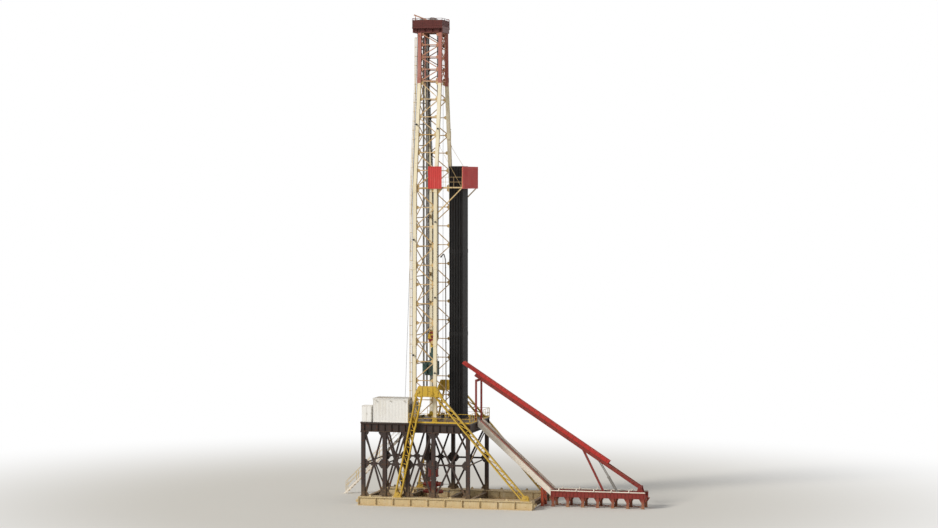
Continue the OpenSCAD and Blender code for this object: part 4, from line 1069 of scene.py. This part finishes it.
def baseParts():
    bm = bmesh.new()  # lugs, end clevises and pins on the base boxes
    for side in (-1, 1):
        y = side * 459
        for x, s in ((-740, -1), (1270, 1)):
            addBlock(bm, (x, x + s * 5), (y - 68, y + 68), (6, 94), bevel=1)
            for dy in (-44, -30, 30, 44):
                addPlate(bm, [(0, -16), (s * 20, -16), (s * 30, -6), (s * 30, 6), (s * 20, 16), (0, 16)], 5,
                         placed(x + s * 5, y + dy, 50))
            for dy in (-37, 37):
                addRod(bm, (x + s * 22, y + dy - 14, 50), (x + s * 22, y + dy + 14, 50), 5, 12)
        for x in (-600, -330, 330, 680, 980):
            addPlate(bm, [(-16, 0), (16, 0), (10, 18), (0, 22), (-10, 18)], 5,
                     placed(x, y + side * 58, 100))
            addArc(bm, (x, y + side * 58, 112), 8, 1.8, (0, 1, 0), (1, 0, 0), 360, 6, 16)
    finishPiece(bm, "base_lugs", "beamCream")
    bm = bmesh.new()  # brackets and pins at the feet of the A-frames
    for side in (-1, 1):
        y = side * 498
        for x in (-285, 1190):
            addBlock(bm, (x - 52, x + 52), (y - 26, y + 26), (100, 104), bevel=1)
            for s in (-1, 1):
                addPlate(bm, [(-46, 0), (46, 0), (30, 44), (14, 58), (-14, 58), (-30, 44)], 5,
                         placed(x, y + s * 24, 102))
            for y0, y1, r in ((-31, 31, 11), (-34, -31, 15), (31, 34, 15)):
                addRod(bm, (x, y + y0, 136), (x, y + y1, 136), r, 18)
    finishPiece(bm, "frame_feet", "yellowPaint")


def frameHeads():
    bm = bmesh.new()
    for side in (-1, 1):
        y = side * 519
        addPlate(bm, [(-84, 1244), (244, 1244), (156, 1354), (-36, 1354)], 3, placed(0, y, 0))
        for x in (-50, 10, 70, 130, 190):
            top = 1350 if -36 < x < 156 else 1300
            addBlock(bm, (x - 2, x + 2), (side * 520, side * 526), (1246, top))
        addRod(bm, (120, side * 512, 1280), (120, side * 532, 1280), 20, 20)
        addRod(bm, (120, side * 532, 1280), (120, side * 536, 1280), 12, 16)
        addBolts(bm, [(120 + u, side * 533, 1280 + v) for u, v in circle(6, 16)], 2, 3, (0, 1, 0))
        addRod(bm, (-40, side * 466, 1300), (-40, side * 532, 1300), 16, 16)
        for x0, z0, x1, z1, n in ((-285, 100, -35, 1240, 10), (1190, 100, 190, 1240, 12)):
            for k in range(1, n):  # bolted batten ends on both faces
                t = k / n
                x, z = x0 + (x1 - x0) * t, z0 + (z1 - z0) * t
                for face in (-1, 1):
                    addBolts(bm, [(x, side * (498 + face * 6.2), z)], 3.4, 3, (0, 1, 0))
    finishPiece(bm, "frame_head_plates", "yellowPaint")
    bm = bmesh.new()  # shoes: pins and stiffeners under the mast's legs
    for side in (-1, 1):
        for x in (-120, 120):
            y = side * 380
            for s in (-1, 1):
                addPlate(bm, [(-30, 0), (30, 0), (18, 52), (-18, 52)], 4,
                         placed(x, y + s * 25, 950))
            addRod(bm, (x, y - 32, 984), (x, y + 32, 984), 8, 16)
            addBolts(bm, [(x + a, y + b, 952) for a in (-30, 30) for b in (-26, 26)], 2.6, 4, (0, 0, 1))
    finishPiece(bm, "mast_shoe_pins", "yellowPaint")


def floorParts():
    bm = bmesh.new()  # anti-slip plates laid over the floor
    for i in range(8):
        for j in range(6):
            x, y = -728 + i * 159.6, -468 + j * 156
            if x + 158 < -96 or x > 128 or y + 154 < -96 or y > 96:
                addBlock(bm, (x + 1.2, x + 158.4), (y + 1.2, y + 154.8), (940, 940.9))
    finishPiece(bm, "floor_plates", "floorSteel")
    bm = bmesh.new()  # toe boards
    for x, y in (((-163, 542), (-469.5, -467.5)), ((547.5, 549.5), (-466, -152)),
                 ((-722, -292), (467.5, 469.5)), ((-196, 542), (467.5, 469.5)),
                 ((547.5, 549.5), (152, 466)), ((-729.5, -727.5), (-350, 466))):
        addBlock(bm, x, y, (941, 958))
    finishPiece(bm, "toe_boards", "railYellow")


def stairParts():
    bm = bmesh.new()
    rise = 940 / 27
    for i in range(1, 27):
        x, z = -290 - i * rise, 940 - i * rise
        for k in range(5):
            addBlock(bm, (x + 3 + k * 6, x + 4.2 + k * 6), (512, 578), (z, z + 0.9))
        addBlock(bm, (x - 1, x + 1), (511, 579), (z - 3, z + 1.4))
        for y in (510.5, 579.5):
            addBlock(bm, (x + 4, x + 28), (y - 1, y + 1), (z - 9, z - 1))
    finishPiece(bm, "stair_nosings", "wornSteel")


substructureParts()
baseParts()
frameHeads()
floorParts()
stairParts()
print("substructure, A-frames, floor and stair dressed")


slope = {"pivot": (2400, 0, 232), "angle": 33.0, "ramp": 42.0}


def slopePlace():
    b = math.radians(slope["angle"])
    turn = Matrix(((-math.cos(b), 0, math.sin(b)), (0, -1, 0), (math.sin(b), 0, math.cos(b)))).transposed()
    return Matrix.Translation(at(*slope["pivot"])) @ turn.to_4x4()


def rampPlace():
    b = math.radians(slope["ramp"])
    turn = Matrix(((math.cos(b), 0, -math.sin(b)), (0, 1, 0), (math.sin(b), 0, math.cos(b)))).transposed()
    return Matrix.Translation(at(550, 0, 940)) @ turn.to_4x4()


def rampParts():
    place = rampPlace()
    length = 760 / math.sin(math.radians(slope["ramp"]))
    bm = bmesh.new()  # skid bars and cleats on the ramp
    for y in (-84, -56, 56, 84):
        addBlock(bm, (6, length - 6), (y - 3, y + 3), (0, 3.4), place, 0.8)
    for k in range(1, 15):
        for s in (-1, 1):
            addBlock(bm, (k * length / 15, k * length / 15 + 5), (s * 60, s * 81), (0, 2), place)
    finishPiece(bm, "ramp_skids", "wornSteel")
    bm = bmesh.new()  # ribs under the deck and bolted side joints
    for k in range(1, 10):
        addBlock(bm, (k * length / 10 - 4, k * length / 10 + 4), (-98, 98), (-34, -14), place)
    for y in (-70, 0, 70):
        addBlock(bm, (10, length - 30), (y - 4, y + 4), (-30, -14), place)
    finishPiece(bm, "ramp_ribs", "rampOrange")
    bm = bmesh.new()
    for s in (-1, 1):
        for k in range(24):
            x = 20 + k * (length - 40) / 23
            spots = [place @ at(x, s * 113, z) * 1000 for z in (6, -24)]
            addBolts(bm, spots, 2.2, 3, (0, 1, 0))
        addBlock(bm, (0, length), (s * 100, s * 115), (16.6, 19), place)
    finishPiece(bm, "ramp_side_bolts", "paleEdge")


def catwalkParts():
    bm = bmesh.new()  # stiffeners, feet and cross ties of the side frames
    legs = [1404.4 + i * (2470 - 1394.4 - 50) / 6 for i in range(7)]
    for s in (-1, 1):
        for i in range(26):
            x = 1404 + i * 41.8
            addBlock(bm, (x, x + 3), (s * 110, s * 114), (112, 168))
        for z in (110, 164):
            addBlock(bm, (1395, 2470), (s * 110, s * 115), (z, z + 5))
        for x in legs:
            addBlock(bm, (x - 6, x + 36), (s * 84, s * 117), (0, 5), bevel=1)
            for near, far in ((30, 62), (0, -32)):
                addPlate(bm, [(near, 110), (far, 110), (near, 60)], 4, placed(x, s * 98, 0))
    for a, b in zip(legs, legs[1:]):
        for y in (-98, 98):
            addRod(bm, (a + 30, y, 16), (b, -y, 16), 3, 6)
    finishPiece(bm, "catwalk_stiffeners", "catwalkRed")
    bm = bmesh.new()  # deck plates
    for s in (-1, 1):
        for k in range(8):
            x = 1396 + k * 134
            addBlock(bm, (x + 1, x + 132), (s * 47, s * 107), (180, 181))
    finishPiece(bm, "catwalk_plates", "floorSteel")
    bm = bmesh.new()  # pale edge, kickers and their brackets
    for s in (-1, 1):
        addBlock(bm, (1396, 2468), (s * 108, s * 112), (176, 187), bevel=1)
        for x in (1480, 1680, 1880, 2080, 2280):
            addBlock(bm, (x, x + 14), (s * 60, s * 106), (181, 188), bevel=1.5)
            addPlate(bm, [(0, 0), (0, 26), (10, 26), (26, 0)], 8,
                     placed(x + 7, s * 100, 181)
                     @ Matrix.Rotation(math.radians(90 * s), 4, "Y"))
    finishPiece(bm, "catwalk_kickers", "paleEdge")


def troughParts():
    place = slopePlace()
    bm = bmesh.new()  # rollers, side ribs and pins of the carrier
    for k in range(15):
        s = 90 + k * 150
        for side in (-1, 1):
            addBlock(bm, (s, s + 6), (side * 36, side * 40), (-16, 16), place)
    for side in (-1, 1):
        for z in (-18, 14):
            addBlock(bm, (30, 2262), (side * 36, side * 41), (z, z + 4), place)
    for y0, y1, r in ((-58, 58, 9), (-60, -57, 15), (57, 60, 15)):
        addRod(bm, (0, y0, 0), (0, y1, 0), r, 16, place=place)
    for k in range(8):
        addRod(bm, (160 + k * 250, -26, -2), (160 + k * 250, 26, -2), 6, 10, place=place)
    finishPiece(bm, "carrier_ribs", "catwalkRed")
    bm = bmesh.new()  # lip, ribs, end stop and skate of the trough
    for side in (-1, 1):
        addBlock(bm, (452, 2458), (side * 30, side * 38), (52, 55), place, 0.8)
        for k in range(26):
            s = 480 + k * 76
            addBlock(bm, (s, s + 5), (side * 36, side * 38.6), (21, 52), place)
    addBlock(bm, (446, 452), (-34, 34), (22, 60), place, 1.5)
    addBlock(bm, (520, 550), (-10, 10), (29, 44), place, 2)
    finishPiece(bm, "trough_lips_and_skate", "troughRed", "trough")
    bm = bmesh.new()
    for side in (-1, 1):
        addBar(bm, (454, side * 17, 40.6), (2456, side * 17, 40.6), 5, 1.6, (0, side * -0.74, 0.67), place)
    finishPiece(bm, "trough_wear_strips", "wornSteel", "trough")
    bm = bmesh.new()  # lifting cylinders beside the strut
    for side in (-1, 1):
        foot, head = (2160, side * 30, 134), (1930, side * 30, 518)
        neck, collar = [tuple(a + (b - a) * part for a, b in zip(foot, head)) for part in (0.55, 0.52)]
        addRod(bm, foot, neck, 9, 16)
        addRod(bm, neck, head, 5, 12)
        addRod(bm, collar, neck, 11, 16)
        for x, _, z in (foot, head):
            addRod(bm, (x, side * 22, z), (x, side * 40, z), 8, 12)
        addBlock(bm, (2146, 2174), (side * 24, side * 36), (118, 132), bevel=1)
    finishPiece(bm, "lifting_cylinders", "wornSteel", smooth=True)


def preventerParts():
    bm = bmesh.new()  # flange bolts, hand wheels and bonnet bolts
    for z, high in ((60, 26), (86, 6), (250, 26), (276, 6), (402, 6)):
        addBolts(bm, [(u, v, z + 3) for u, v in circle(12, 30)], 2.2, high, (0, 0, 1))
    for z in (120, 204):
        for s in (-1, 1):
            addBolts(bm, [(s * 97, u, z + v) for u, v in circle(8, 22)], 2.2, 5, (1, 0, 0))
            addRod(bm, (s * 115, 0, z), (s * 190, 0, z), 3, 8)
            addArc(bm, (s * 188, 0, z), 18, 2, (1, 0, 0), (0, 1, 0), 360, 6, 20)
            for u, v in circle(6, 17)[:3]:
                addRod(bm, (s * 188, u, z + v), (s * 188, -u, z - v), 1.4, 6)
    finishPiece(bm, "preventer_bolts", "wornSteel")
    bm = bmesh.new()  # side outlets with their valves
    for s in (-1, 1):
        addRod(bm, (0, s * 36, 158), (0, s * 120, 158), 8, 14)
        for y in (44, 70, 84, 110):
            addRod(bm, (0, s * y, 158), (0, s * (y + 6), 158), 14, 16)
        for y in (52, 92):
            addBlock(bm, (-12, 12), (s * y, s * (y + 18)), (142, 178), bevel=2)
        for y in (61, 101):
            addRod(bm, (0, s * y, 178), (0, s * y, 196), 4, 10)
            addArc(bm, (0, s * y, 196), 12, 1.8, (0, 0, 1), (1, 0, 0), 360, 6, 18)
            addRod(bm, (-12, s * y, 196), (12, s * y, 196), 1.4, 6)
    for z in (300, 384):
        addTurned(bm, [(0, 6), (64, 6), (66, 0), (64, -6), (0, -6)], Matrix.Translation(at(0, 0, z)), 32)
    finishPiece(bm, "preventer_outlets", "valveRed")


rampParts()
catwalkParts()
troughParts()
preventerParts()
print("ramp, catwalk, trough and preventers dressed")
